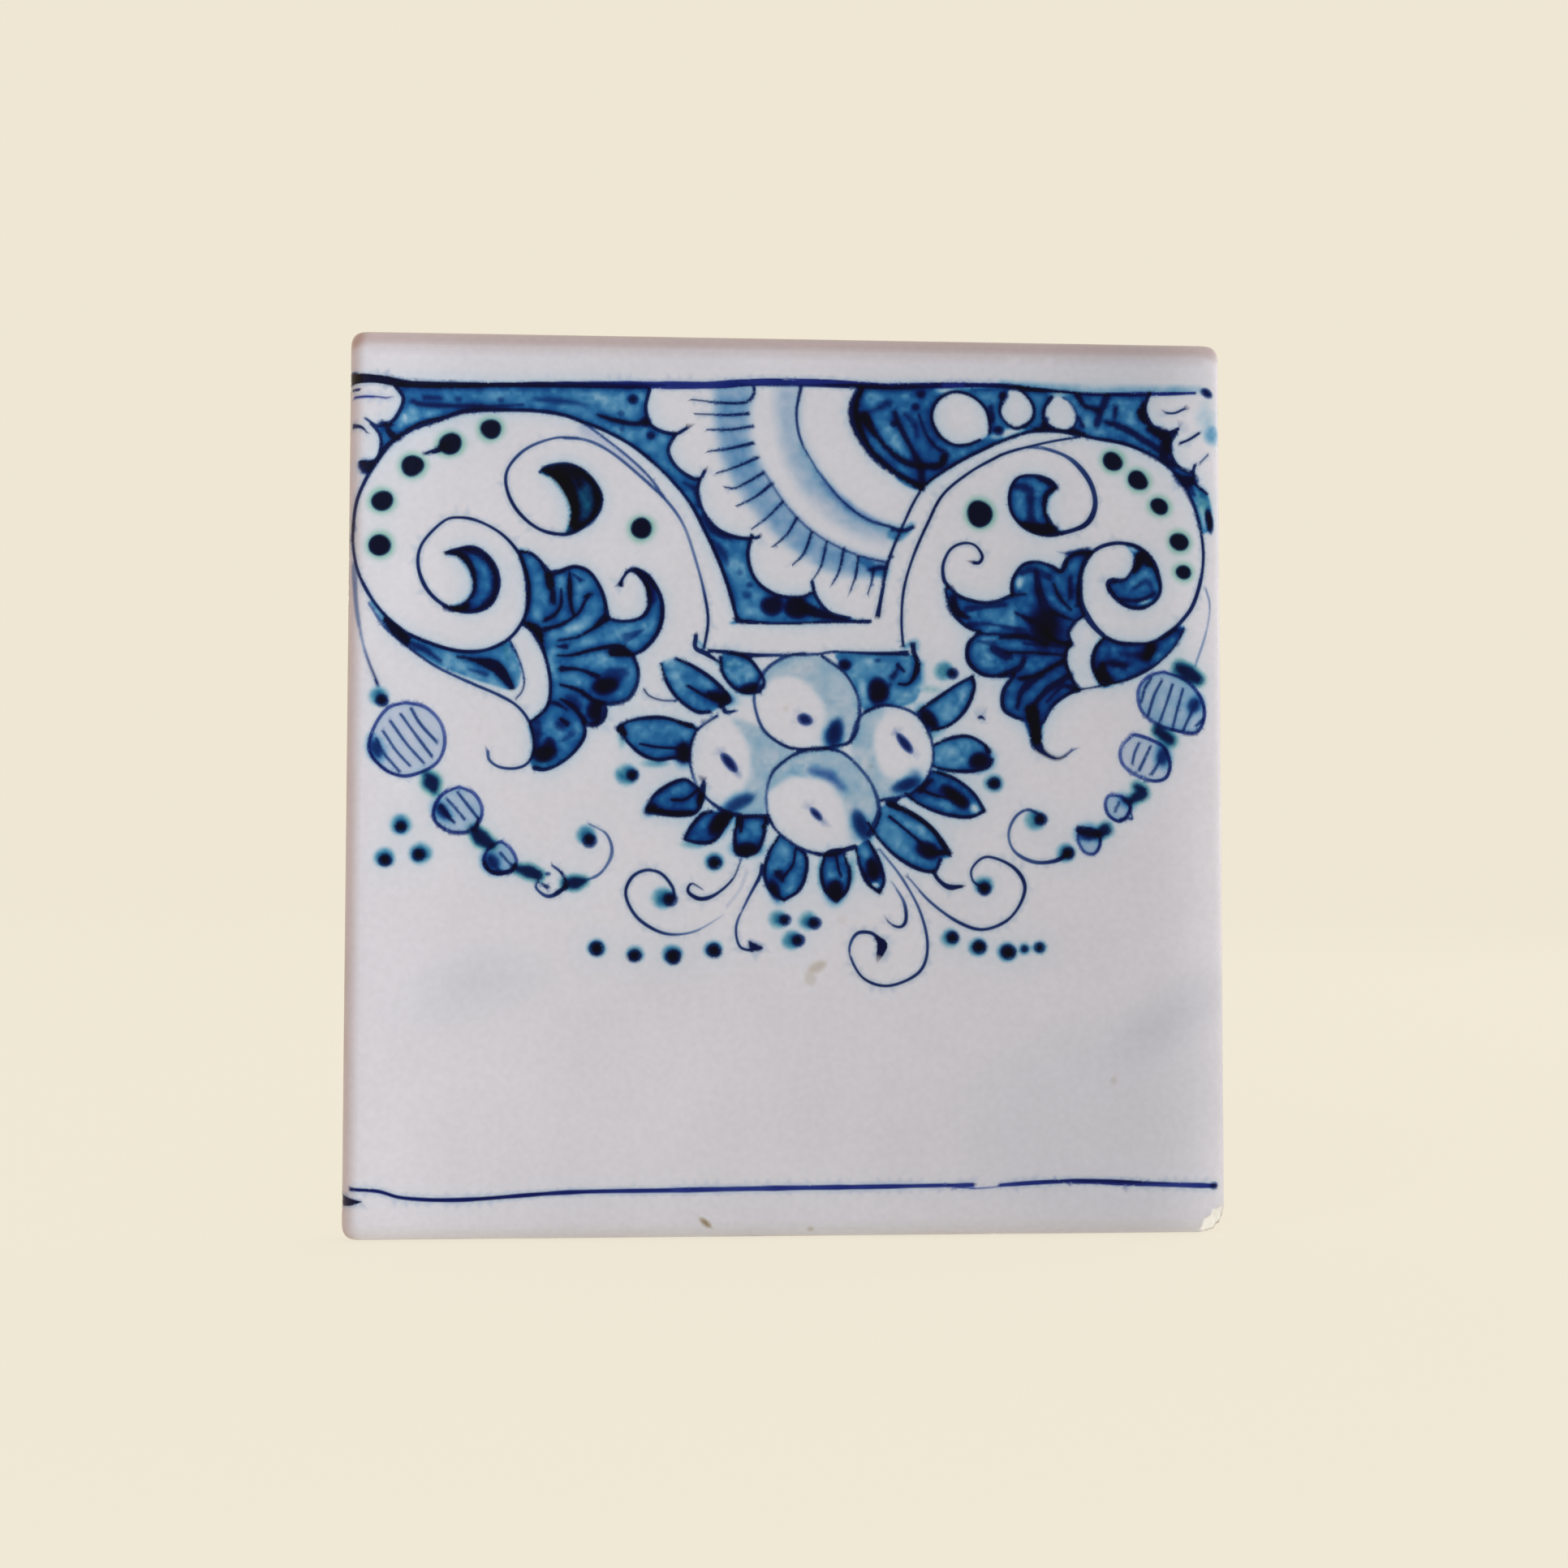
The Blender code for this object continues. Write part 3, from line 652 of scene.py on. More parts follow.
# Veins of the right leaf: course, width and strength
RIGHT_VEINS = [
    ([(42.2, 32), (43.2, 29.8), (45, 27.8)], (0.5, 0.7, 0.4), 0.85),
    ([(39.4, 34), (39.8, 31), (41, 27.6)], (0.8, 1.4, 1.8), 0.6),
    ([(37, 33.6), (39, 34.2), (41.6, 33)], (0.6, 1.2, 1), 0.4),
    ([(44.9, 33), (44.9, 29.8)], (0.8, 0.9), 0.55),
    ([(46, 28.6), (46.2, 31.8)], (0.6, 0.4), 0.5),
    ([(42, 27.4), (45, 26.3)], (0.9, 0.4), 0.9),
    ([(44.9, 22.4), (42.6, 22.8), (41, 24)], (0.9, 0.6, 1.4), 1.1),
    ([(36, 27.3), (38.6, 26)], (0.3, 1.2), 0.8),
    ([(33.5, 23.2), (37.5, 23.4), (41, 22.4)], (0.5, 0.8, 1), 0.9),
    ([(34.2, 20.9), (38.6, 20.9), (43.8, 20.6)], (0.4, 0.5, 0.5), 1),
    ([(37.4, 22.4), (43.6, 21.9)], 0.4, 0.6),
    ([(33.5, 17.3), (36.5, 18.4), (37.4, 20)], (0.6, 1.1, 0.9), 0.7),
    ([(36.7, 16.7), (39.6, 17.4), (43.6, 19.6)], (0.9, 0.8, 0.7), 0.95),
    ([(36.2, 12), (37.2, 15), (40.4, 17.4)], (0.6, 1.3, 0.8), 0.6),
    ([(38.8, 12.4), (41, 14.9), (44.8, 17.4)], (0.8, 1.1, 1), 0.7),
    ([(45.4, 15.3), (43.5, 15.5), (41, 13)], (1, 0.6, 0.3), 0.7),
    ([(32.5, 21.4), (34.6, 20.4)], (1.3, 1.6), 0.5),
    ([(30, 22.6), (32.5, 22.4)], (0.5, 1), 0.3),
    ([(26, 29.6), (26.4, 27.6), (28.4, 26.4)], (1.2, 1.4, 0.6), 0.85),
    ([(28.2, 27.8), (31.4, 28.2), (34.4, 28.6)], (1, 0.6, 0.8), 0.4),
    ([(28.6, 25.4), (32, 25.4), (37.5, 24.4)], (0.9, 0.5, 1.2), 0.4),
    ([(30.6, 23.9), (34.4, 23.8), (38, 23.6)], (0.5, 0.5, 0.8), 0.8),
    ([(35.6, 30.1), (37.6, 30.4)], (0.6, 0.3), 0.8)]


def right_leaf(face):
    """Draw the acanthus leaf beside the right scroll, down to its curled tip."""
    horn = [(25.2, 31.6), (27, 29.9), (30.5, 28.9), (33.2, 29.2), (35.4, 30.2)]
    top = [(35.4, 30.2), (35.6, 32.6), (37.2, 35), (39.6, 35.5), (42, 34.8), (43.4, 34.1), (44.6, 36.2),
           (46.4, 37.2), (48.4, 37.2)]
    left = [(24.7, 31), (25.6, 27.6), (28, 25.1), (30.2, 24.1), (28.4, 22.2), (28.4, 19.4), (30.6, 17.4),
            (33.6, 17.1), (35.7, 17.3), (34, 14.8), (34, 11.9), (35.8, 10.6), (37, 10.2), (38, 8), (39, 6.2)]
    inner = [(40.1, 6.6), (40.4, 9.6), (42, 12.4), (44.6, 14.4), (46.3, 15), (45.2, 16.6), (44.1, 19.4),
             (44.3, 21.5), (45, 22.3), (44.6, 24.2), (45.6, 25.8), (47.2, 27)]
    rim = [(46.5, 29), (46.5, 32.5), (47.2, 35.4)]
    face.wash(horn + top + rim[::-1] + inner[::-1] + left[::-1], 1.3)
    for edge, width in (
            (horn, (0.5, 0.6, 0.5)), (top, (0.6, 0.6, 0.5, 0.5, 0.6, 0.9, 0.7, 0.6)),
            (left[:4], (0.4, 0.6, 0.5)), (left[3:9], (0.6, 0.7, 0.6)), (left[8:13], 0.6),
            (inner[1:5], (0.5, 0.5, 0.5, 0.8)), (inner[4:], (0.6, 0.6, 0.8, 0.6, 0.5, 0.4))):
        face.line(edge, width, 1)
    face.line([(44.2, 36.9), (47.6, 37.3)], (0.6, 1.3), 0.8, soft=0.25)
    face.blot(40.9, 25.2, 2.3, 2.7, 0.95, soft=1.9)
    face.blot(40.2, 24, 1.4, 2, 0.5, soft=0.9, turn=25)
    for vein, width, ink in RIGHT_VEINS:
        face.line(vein, width, ink, soft=0.22)
    face.line([(38.6, 11.6), (39, 9.4), (39.5, 7)], (2.6, 2.1, 1.2), 1.2, soft=0.25)
    face.reserve([(36.1, 31.4), (36.6, 33.4), (37.2, 32.6), (36.8, 31.2)], 0.3)
    face.line([(42, 34), (39, 35), (37, 34.4)], 0.4, 0.2, "green", 0.3)


# Outlines of the four fruits
FRUITS = {
    "top": [(5, 20.1), (8.6, 17.4), (10.8, 13.4), (10.8, 9.8), (9.4, 6.5), (6, 5.6), (1.5, 5.3),
            (-1.3, 6), (-4.3, 8.4), (-5.7, 12.3), (-5.4, 15), (-3.6, 18.2), (-0.4, 20.1), (2.4, 20.5)],
    "left": [(-11.6, 10.5), (-14.9, 8), (-15.9, 4.2), (-15, -0.1), (-12.4, -3.3), (-8.8, -5.1),
             (-4, -5.3), (-3.6, 0), (-2.6, 2.1), (0.8, 4.6), (-2, 6.5), (-4.6, 9), (-8.6, 10.8)],
    "right": [(12, 11.3), (14.8, 12.3), (18.2, 11.8), (20.8, 10.2), (22.4, 7), (22.7, 3.6), (21.4, 0.2),
              (18.6, -1.9), (14.3, -2.8), (13, -0.4), (11.4, 1.9), (9.8, 4), (9.6, 6.6), (10.9, 10)],
    "low": [(5.5, 5.4), (2, 5), (-0.8, 3.5), (-3, 1.3), (-3.8, -2), (-3.6, -5.2), (-2, -7.8), (1.5, -10.3),
            (5.5, -11.4), (10.2, -10.2), (12.6, -8.2), (14.1, -4.5), (13.2, -0.8), (11.4, 1.9), (8.4, 4.7)]}


def fruit(face):
    """Draw the four round fruits, shaded in thin grey blue."""
    for outline in FRUITS.values():
        face.reserve(outline, 0.1)
    shades = (
        [(-5, 15.2), (-2.4, 16.7), (1, 16.7), (4.2, 14.2), (5.6, 11), (4.9, 6.2), (8.2, 6.4), (10.7, 10.4),
         (10.6, 13.4), (8.4, 17.4), (4.8, 20), (0, 20.1), (-3.8, 18)],
        [(-9.4, -4.2), (-7.2, -0.8), (-6.2, 2.4), (-6.9, 6.6), (-9.2, 10), (-5, 8.8), (-2.4, 6.2), (0.6, 4.6),
         (-3, 1.6), (-3.8, -2), (-4.1, -5)],
        [(15.2, 11.6), (13.3, 8.4), (13.4, 4.6), (14.6, 1.4), (17, 0.4), (20, 1.2), (20.6, -0.4), (17, -2.4),
         (14.4, -2.5), (11.6, 1.9), (10, 4.4), (10.2, 7.4), (12, 11)],
        [(-3.7, -1.6), (-1.2, 0.3), (2, 1.2), (5, 0.6), (7.6, -1.8), (9, -5), (9.8, -9.2), (12.2, -8.2),
         (14, -4.4), (12.9, -0.4), (9.6, 3.9), (5.4, 5.2), (1, 4.5), (-2.6, 1.8)])
    for shade in shades:
        face.wash(shade, 0.21, soft=0.35)
        face.wash(shade, 0.17, "grey", soft=0.45)
    face.line([(-1, 1.6), (3.6, 2.1), (7, 1), (8.8, -1.2)], (0.8, 2.4, 2.6, 1.4), 0.32, "blue", 0.6)
    face.line([(3.2, 1.9), (6, 1.2), (8.2, -0.8)], (0.8, 1.6, 0.8), 0.28, "indigo", 0.6)
    for x, z, wide, tall, turn, depth in (
            (7, 7.9, 1.1, 1.9, -20, 0.7), (-8.1, -3.2, 2.2, 0.9, 25, 0.45),
            (18.4, -0.3, 2, 0.8, 22, 0.55), (11.2, -6.8, 0.9, 2.3, 20, 0.55),
            (19.9, 0.9, 0.7, 0.9, 0, 0.2)):
        face.blot(x, z, wide, tall, depth, "ink", 0.8, turn)
        face.blot(x, z, wide + 0.7, tall + 0.5, depth, "blue", 0.8, turn)
    for x, z, wide, tall, turn in (
            (2.3, 10, 1.1, 0.75, -20), (-9.7, 3.1, 1.75, 0.65, -50), (18.2, 6.3, 1.8, 0.6, -52),
            (4.1, -5, 1.15, 0.45, -48)):
        face.blot(x, z, wide, tall, 0.75, "ink", 0.4, turn)
        face.blot(x, z, wide + 0.1, tall + 0.15, 0.35, "indigo", 0.4, turn)
    face.line(FRUITS["top"][:6], (0.5, 0.45, 0.7, 0.5), (0.9, 0.7, 0.5, 0.9, 0.6))
    face.line(FRUITS["top"][5:], 0.5, (0.9, 0.9, 0.6, 0.45, 0.6, 0.8))
    face.line(FRUITS["left"][:7], (0.5, 0.5, 0.5, 0.35, 0.6, 0.8, 0.6), (0.7, 0.9, 0.9, 0.4, 0.9, 1, 1))
    face.line(FRUITS["right"][:9], 0.55, (1, 0.8, 0.7, 0.9, 0.5, 0.7, 0.9, 0.5, 1))
    face.line([(11.8, 11.2), (10.4, 9.6), (9.4, 6.4)], 0.4, (0.8, 0.4, 0.7))
    face.line(FRUITS["low"][:6], (0.7, 0.4), (1, 0.9, 0.8, 0.4, 0.5))
    face.line(FRUITS["low"][5:10], (0.6, 0.5, 0.5, 0.8, 0.8), (1, 0.7, 1, 1))
    face.line(FRUITS["low"][10:] + FRUITS["low"][:1], (1.1, 0.5, 0.6), (0.8, 0.6, 0.5, 1))


# Strength of the wash of each leaf, then the leaves: lower and upper edge, dark blot, and a vein
LEAF_DEPTHS = (1.1, 1.05, 1, 1.4, 1.3, 1.1, 1.05, 1.3, 1.2, 0.8, 1.2, 0.92, 1.05)
LEAVES = [
    ([(-11.1, 19.8), (-10.8, 17.4), (-9.2, 15.2), (-7.2, 14.2), (-4.9, 14.4)],
     [(-9.6, 20.5), (-6.9, 19.8), (-5, 17.7), (-4.2, 15.8), (-4.9, 14.4)], (-6.1, 15, 1.7, 0.7, 8), None),
    ([(-20.5, 18.7), (-19.6, 15.8), (-17.8, 13.2), (-15, 11.2), (-12.8, 11.1)],
     [(-18.2, 19.6), (-15.2, 18.2), (-12, 16), (-9.6, 13.2), (-11, 12)], (-11.4, 13.5, 1.9, 0.8, -15),
     [(-16.2, 15.2), (-14, 13.9), (-11.6, 12.8)]),
    ([(-27.4, 8.5), (-25.8, 6.4), (-23.6, 4.4), (-21, 3.5), (-18.4, 3.8), (-16.2, 3.4)],
     [(-26.9, 9), (-24.4, 9.9), (-20.4, 10.2), (-16.8, 9.3), (-14.8, 8.4)], (-16.9, 4.6, 1.1, 1.5, 0),
     [(-23.8, 6), (-21, 5.5), (-18, 5.4), (-16.6, 6)]),
    ([(-22.9, -4.7), (-20.4, -5.1), (-17.4, -5.3), (-15, -4.8), (-13.8, -2.6), (-13.7, 0.1)],
     [(-22.8, -4.2), (-21.4, -2), (-19, -0.3), (-16.6, 0.4), (-14.8, -0.8)], (-22, -4.3, 0.9, 0.6, 40),
     [(-18.8, -2.8), (-16.6, -2.7), (-14.4, -1)]),
    ([(-16.8, -9), (-15.8, -7.2), (-14, -5.1), (-12.4, -4.6)],
     [(-16.7, -9.1), (-14.2, -9.6), (-12, -9.2), (-10.2, -6.8), (-9.1, -5.1)],
     (-11.2, -6.4, 1.1, 2.2, -38), None),
    ([(-8.2, -5.3), (-8.8, -8.6), (-8.4, -11.2), (-6.8, -11.6)],
     [(-3.9, -5.5), (-4.2, -8.4), (-5.2, -10.8), (-6.8, -11.6)], (-6.9, -10.5, 1.7, 0.9, 0), None),
    ([(-1.7, -8.4), (-3.4, -11.2), (-4.1, -14.4), (-3.2, -17), (-1, -18.6)],
     [(1, -10.3), (2.5, -11.6), (2.5, -14.4), (1.4, -17), (-1, -18.6)], (-2.5, -16.9, 0.7, 1.5, 20),
     [(0.8, -10.6), (0.4, -13), (-1.2, -15.1)]),
    ([(5.6, -11.4), (4.9, -14), (5.5, -17), (7.3, -18.8)],
     [(8.6, -11.4), (9.4, -14.2), (9, -17), (7.3, -18.8)], (7.1, -17.1, 1.2, 1.5, 0),
     [(7.3, -11.6), (7.6, -13.4), (8, -14.8)]),
    ([(10.4, -10.4), (11.2, -13.6), (12.4, -16), (14.2, -17.4)],
     [(12.4, -9.2), (14.1, -12.4), (14.9, -15.4), (14.2, -17.4)], (13.1, -13.7, 1, 1.6, 12), None),
    ([(12.3, -6.3), (14, -8.8), (16.8, -11.6), (20.2, -13.6), (22.9, -14), (23.9, -12.2)],
     [(15.7, -3.2), (19.2, -4.7), (22.4, -7), (24.6, -9.8), (25.5, -11.6)], (21.8, -10.7, 1.7, 1.2, -25),
     [(15.7, -5.3), (18.4, -7.5), (20.9, -9.6)]),
    ([(18.3, -1.6), (20.6, -3.4), (24.4, -4.9), (28.4, -5.4), (31, -4.4)],
     [(22.8, 1.9), (26, 0.8), (29, -1.4), (31, -4.4)], (26.4, -2.2, 2.3, 1, -36),
     [(20.8, -1), (22.6, -1.8), (25, -2.4)]),
    ([(22.8, 2.6), (25.4, 2), (29, 1.9), (31.6, 2.6), (32.2, 3.8)],
     [(22.8, 6), (25.4, 7.1), (28.2, 7.5), (30.8, 6.3), (31.7, 5.2)], (30.2, 3.6, 1.6, 1.2, 10), None),
    ([(22.5, 8.3), (25.6, 9.4), (28, 11.8), (29.3, 15), (29.1, 17)],
     [(20.3, 11.4), (23.2, 13.4), (26.6, 15.7), (29.1, 17)], (22.1, 10.2, 0.9, 1.8, 40), None)]


def bouquet_leaves(face):
    """Draw the leaves round the fruit: a blue wash, two dark edges, a dark blot and sometimes a vein."""
    for depth, (near, far, blot, vein) in zip(LEAF_DEPTHS, LEAVES):
        face.wash(near + far[::-1], depth, soft=0.14)
        x, z, wide, tall, turn = blot
        face.blot(x, z, wide, tall, 1.1, "ink", 0.6, turn)
        face.blot(x, z, 1.5 * wide, 1.5 * tall, 0.4, "blue", 0.9, turn)
        face.line(near, (0.4, 0.7, 0.6), 1)
        face.line(far, (0.4, 0.7, 0.6, 0.5), 1)
        if vein:
            face.line(vein, 0.5, 0.9)
    face.line([(-26.8, 8.3), (-26, 7.4)], (1.4, 0.6), 1.1)
    face.line([(-19, 9.9), (-15.7, 8.9)], (0.3, 1), 1.1)
    face.line([(-21.6, -4.3), (-18.6, -5), (-15.6, -4.9)], (0.8, 1.1, 0.9), 1)
    face.line([(-14.3, -3.2), (-13.8, -0.6)], (1.1, 0.9), 0.9)
    face.line([(-11, 12.2), (-10.2, 11.1), (-8.8, 11.3)], (1.1, 0.4), 0.95)
    face.line([(-8, -5.6), (-7.8, -7.8)], (1.2, 0.7), 0.9)
    face.line([(-7.6, -5.5), (-4, -5.5), (-3.6, -6.6), (-4.4, -7)], 0.5, 1)
    face.line([(-1.9, -14.4), (-1.2, -15.6)], (1.3, 0.5), 0.8, soft=0.3)
    face.line([(5.4, -11.4), (6.4, -11), (8.4, -10.6)], (0.6, 1, 0.6), 1.1)
    face.line([(16, -3.4), (19.2, -4.9), (22.6, -7.4), (24.8, -10.4)], (1.1, 0.7, 1), 1.1)
    face.line([(22.6, -11), (25.2, -11.1)], 1, 1.1)
    face.line([(22.7, -14), (23.6, -15.4), (25.2, -16.5), (27.3, -16.4)], (0.7, 0.7, 0.9, 0.5), 1.1)
    face.line([(15.5, -3.2), (16.6, -2.9), (17.4, -2.4)], (0.9, 0.8, 0.4), 1)
    face.line([(20.6, -1), (22.4, 0.4)], (1.2, 0.7), 0.7, soft=0.25)
    face.line([(24.5, -1), (27.6, -3.4)], (1.4, 1.6), 0.5, soft=0.4)
    face.reserve([(28.4, -3.6), (29.4, -4.9), (30.4, -4.6), (29.6, -3.2)], 0.3)
    face.reserve([(12.8, -16.1), (13.8, -16.8), (14.2, -16.2), (13.4, -15.7)], 0.15)
    face.line([(31.1, 6), (31.7, 5)], (0.6, 0.9), 1)
    face.line([(-23.2, 14.6), (-22.4, 13.6), (-20.5, 12.9), (-18.2, 12.8)], 0.35, (0.9, 0.6))
    for x, z, wide, tall in (
            (-21.5, 2.9, 1.8, 0.5), (-15.5, -9.9, 1.6, 0.5), (22.3, 15, 1.4, 0.5), (-10, 18.8, 1.6, 0.5),
            (4.8, -14.5, 0.5, 2), (9.8, -14, 0.5, 2), (22.4, 7.6, 0.8, 0.5), (-26.6, 6.8, 0.5, 1.2)):
        face.blot(x, z, wide, tall, 0.28, "blue", 0.6)
        face.blot(x, z, wide, tall, 0.15, "green", 0.6)


def blue_pocket(face):
    """Wash the blue pocket between the top fruit, the right fruit and the frame line."""
    face.wash([(7.4, 20.5), (12, 20.6), (18.6, 20.5), (20.4, 19.5), (20.9, 16.5), (20.2, 13.4), (18, 12.3),
              (14.8, 12.3), (12, 11.4), (10.9, 13.6), (9.8, 16), (7.6, 19.2)], 0.85)
    face.reserve([(10.8, 16.4), (11.4, 16.2), (12, 13.8), (11.4, 13.2)], 0.4)
    face.blot(14, 14.6, 1.5, 2, 1.15, soft=0.6)
    face.blot(8.6, 18.7, 0.95, 0.8, 1.1)
    face.line([(16.2, 16.8), (17, 18), (17.1, 19)], (1.1, 0.4), 0.65, soft=0.3)
    face.line([(17.1, 18.8), (18, 17.9)], 0.6, 0.8)
    face.blot(13.9, 19.5, 0.3, 0.2, 0.6)
    face.line([(13.4, 13), (16, 15.8)], (1.2, 0.5), 0.5, soft=0.4)
    face.line([(19.5, 22), (19.7, 20.7), (20.3, 19), (19.7, 16.9), (18.6, 15.7), (17.2, 15.8)],
              (0.8, 0.7, 1, 0.6, 0.4), 1.05)
    face.line([(18.2, 21.6), (20, 22.6), (20.3, 21.4)], (0.6, 1, 0.6), 0.4, "blue", 0.4)
    face.line([(21, 19), (20.8, 15)], (0.8, 1.2), 0.35, "blue", 0.4)


# Veins of the left leaf: course, width and strength
LEFT_VEINS = [
    ([(-42.8, 35.6), (-41.9, 33), (-41.4, 29.5), (-41.6, 27)], (0.5, 0.9, 1, 0.6), 0.9),
    ([(-38.2, 32.4), (-37.9, 30.8)], 1.3, 1.1),
    ([(-37.6, 30), (-37.6, 28.4)], 1.0, 0.9),
    ([(-35, 33.2), (-34.9, 29.6), (-34.6, 27.2), (-34.1, 26.3)], (0.3, 0.9, 0.8, 0.5), 1.0),
    ([(-36.3, 30.4), (-36.3, 28), (-37.2, 26.4), (-38.7, 25.5)], (0.3, 0.6, 0.6, 0.8), 0.9),
    ([(-31.8, 29.6), (-32.7, 28.2), (-33.6, 26.6), (-36, 24.9), (-38.8, 24)],
     (0.4, 0.6, 0.5, 0.6, 0.9), 0.95),
    ([(-29.2, 26), (-31, 24.4), (-33.6, 22.9), (-36.6, 22.3)], (1.3, 0.6, 0.5, 0.4), 1.0),
    ([(-25.4, 20.2), (-27.2, 21.4), (-31, 20.9), (-34.4, 20), (-36.8, 19.9)],
     (0.9, 0.9, 0.6, 0.6, 0.4), 1.0),
    ([(-25.8, 20.2), (-28.2, 20.4)], (0.9, 1.3), 1.1),
    ([(-36.2, 17.8), (-33.4, 17.7), (-30.4, 16.6)], (0.9, 0.5, 0.9), 0.9),
    ([(-36.4, 15.3), (-33.6, 14.5), (-31.2, 12.9), (-29.6, 12.4)], (0.5, 0.7, 0.8, 0.8), 1.0),
    ([(-36.2, 13), (-34.4, 11.9), (-32.9, 10.2), (-32.5, 9.4)], (0.4, 1, 0.9, 0.9), 1.0),
    ([(-32.6, 9.2), (-31, 9), (-29.7, 9.8), (-29.2, 11), (-29.4, 12.4)], (0.6, 1, 0.8, 0.7), 1.1),
    ([(-36.8, 21.3), (-35.4, 21.3)], (0.3, 0.8), 0.7),
    ([(-38.2, 12.2), (-37.2, 12.4), (-35.4, 11.4)], (0.5, 0.8, 0.4), 0.7),
    ([(-36.2, 9.9), (-35.2, 9.1)], (0.6, 0.9), 0.9),
    ([(-34.4, 32.8), (-33.2, 31.8)], (0.3, 0.7), 0.5),
    ([(-32.6, 29.2), (-31.8, 29.6)], 0.6, 0.8),
    ([(-36, 6.4), (-34.4, 7.6)], (0.4, 1.2), 0.2),
    ([(-23.4, 24), (-26, 22.8)], (0.5, 1.6), 0.25)]


def left_leaf(face):
    """Draw the acanthus leaf beside the left scroll, with its horn and hooked tip."""
    crown = [(-42.9, 36.3), (-41.2, 36.1), (-39.6, 34.8), (-38.3, 32.9), (-36.6, 33.2), (-34.2, 34),
             (-31.8, 33.1), (-30, 30.4), (-29.2, 27.6), (-29.1, 25.9)]
    horn_in = [(-29.1, 25.9), (-26.6, 25.4), (-23.9, 25.9), (-22.5, 27.7), (-22.7, 30.6), (-24, 32.7),
               (-25.4, 33.4), (-26.5, 32.4), (-27, 31.2)]
    horn_out = [(-26.2, 33.1), (-24.8, 33.8), (-22.6, 32.6), (-20.7, 29.6), (-20.3, 26.4), (-21.2, 23.4),
                (-23.2, 21), (-24.9, 20.1)]
    right = [(-24.9, 20.1), (-24.1, 17.6), (-24.4, 15), (-25.8, 13), (-28.4, 12.2), (-29.6, 12.4)]
    foot = [(-32.5, 9.5), (-32.5, 7.2), (-34, 4.8), (-36.4, 2.8), (-38.6, 1.9), (-40.3, 2.1)]
    spine = [(-41.5, 31), (-41.4, 27.9), (-42.1, 25), (-40.4, 23.4), (-38.8, 20), (-37.9, 15.6),
             (-38.4, 11.8), (-41.1, 9.2), (-40.5, 6), (-40.9, 3.2)]
    outline = crown[:-1] + horn_in[:6] + [(-25.2, 33.6)] + horn_out[1:] + right[1:] + [(-30.4, 9.1)] + foot
    face.wash(outline + spine[::-1], 1.06)
    edges = ((crown[:4], (0.6, 0.6, 0.6, 1.2)), (crown[3:], (0.9, 0.6, 0.6, 0.6, 0.9)),
             (horn_in, (0.6, 0.5, 0.6, 0.8, 0.9, 0.6, 0.4, 0.7)), (horn_out, (0.4, 0.8, 0.7, 0.7, 0.8, 0.6)),
             (right, (0.6, 0.5, 0.5)), (foot, (0.6, 0.6, 0.5, 0.5, 0.9)),
             (spine[2:8], (1, 0.9, 0.6, 0.5, 0.6, 0.5)))
    for edge, width in edges:
        face.line(edge, width, 1)
    face.blot(-26.95, 31.3, 0.45, 0.45, 1.2, soft=0.15)
    face.line([(-24.6, 33.5), (-22.6, 31.6), (-21.7, 28.6)], (0.6, 1.4, 0.9), 0.6, "indigo", 0.3)
    for vein, width, ink in LEFT_VEINS:
        face.line(vein, width, ink, soft=0.16)
    face.line([(-41.4, 24.9), (-40, 24), (-39.2, 22)], (0.8, 1.3, 0.5), 1.1)
    for x, z, wide, tall, depth, turn in (
            (-29.2, 15.2, 2, 1.3, 1.1, 15), (-30.7, 11.2, 1.3, 1.5, 1.1, 0),
            (-38.7, 4.4, 1.8, 1.2, 1.2, 10), (-38, 5.8, 0.9, 1, 0.8, 0),
            (-27.8, 16.8, 2.2, 1.2, 0.3, 20), (-36.4, 8.8, 0.8, 0.6, 0.4, -20),
            (-40, 7.4, 0.8, 2.4, 0.45, 0), (-34, 12.6, 1.6, 0.8, 0.35, -35)):
        face.blot(x, z, wide, tall, depth, soft=0.5, turn=turn)
    face.reserve([(-40.6, 8.8), (-40, 9.3), (-39.6, 8.7), (-40.2, 8.2)], 0.35)
    face.reserve([(-38.6, 20.6), (-38, 17.4), (-37.3, 17.2), (-37.8, 20)], 0.4)
    face.reserve([(-36, 24.2), (-33.6, 25), (-31.6, 25.4), (-32.6, 24.4), (-35.4, 23.4)], 0.5)
    face.wash([(-36, 24.2), (-33.6, 25), (-31.6, 25.4), (-32.6, 24.4), (-35.4, 23.4)], 0.55, soft=0.5)
    face.wash([(-40.6, 2.6), (-39, 2.5), (-37, 3.2), (-38, 3.4), (-40.4, 3.2)], 0.3, "green")


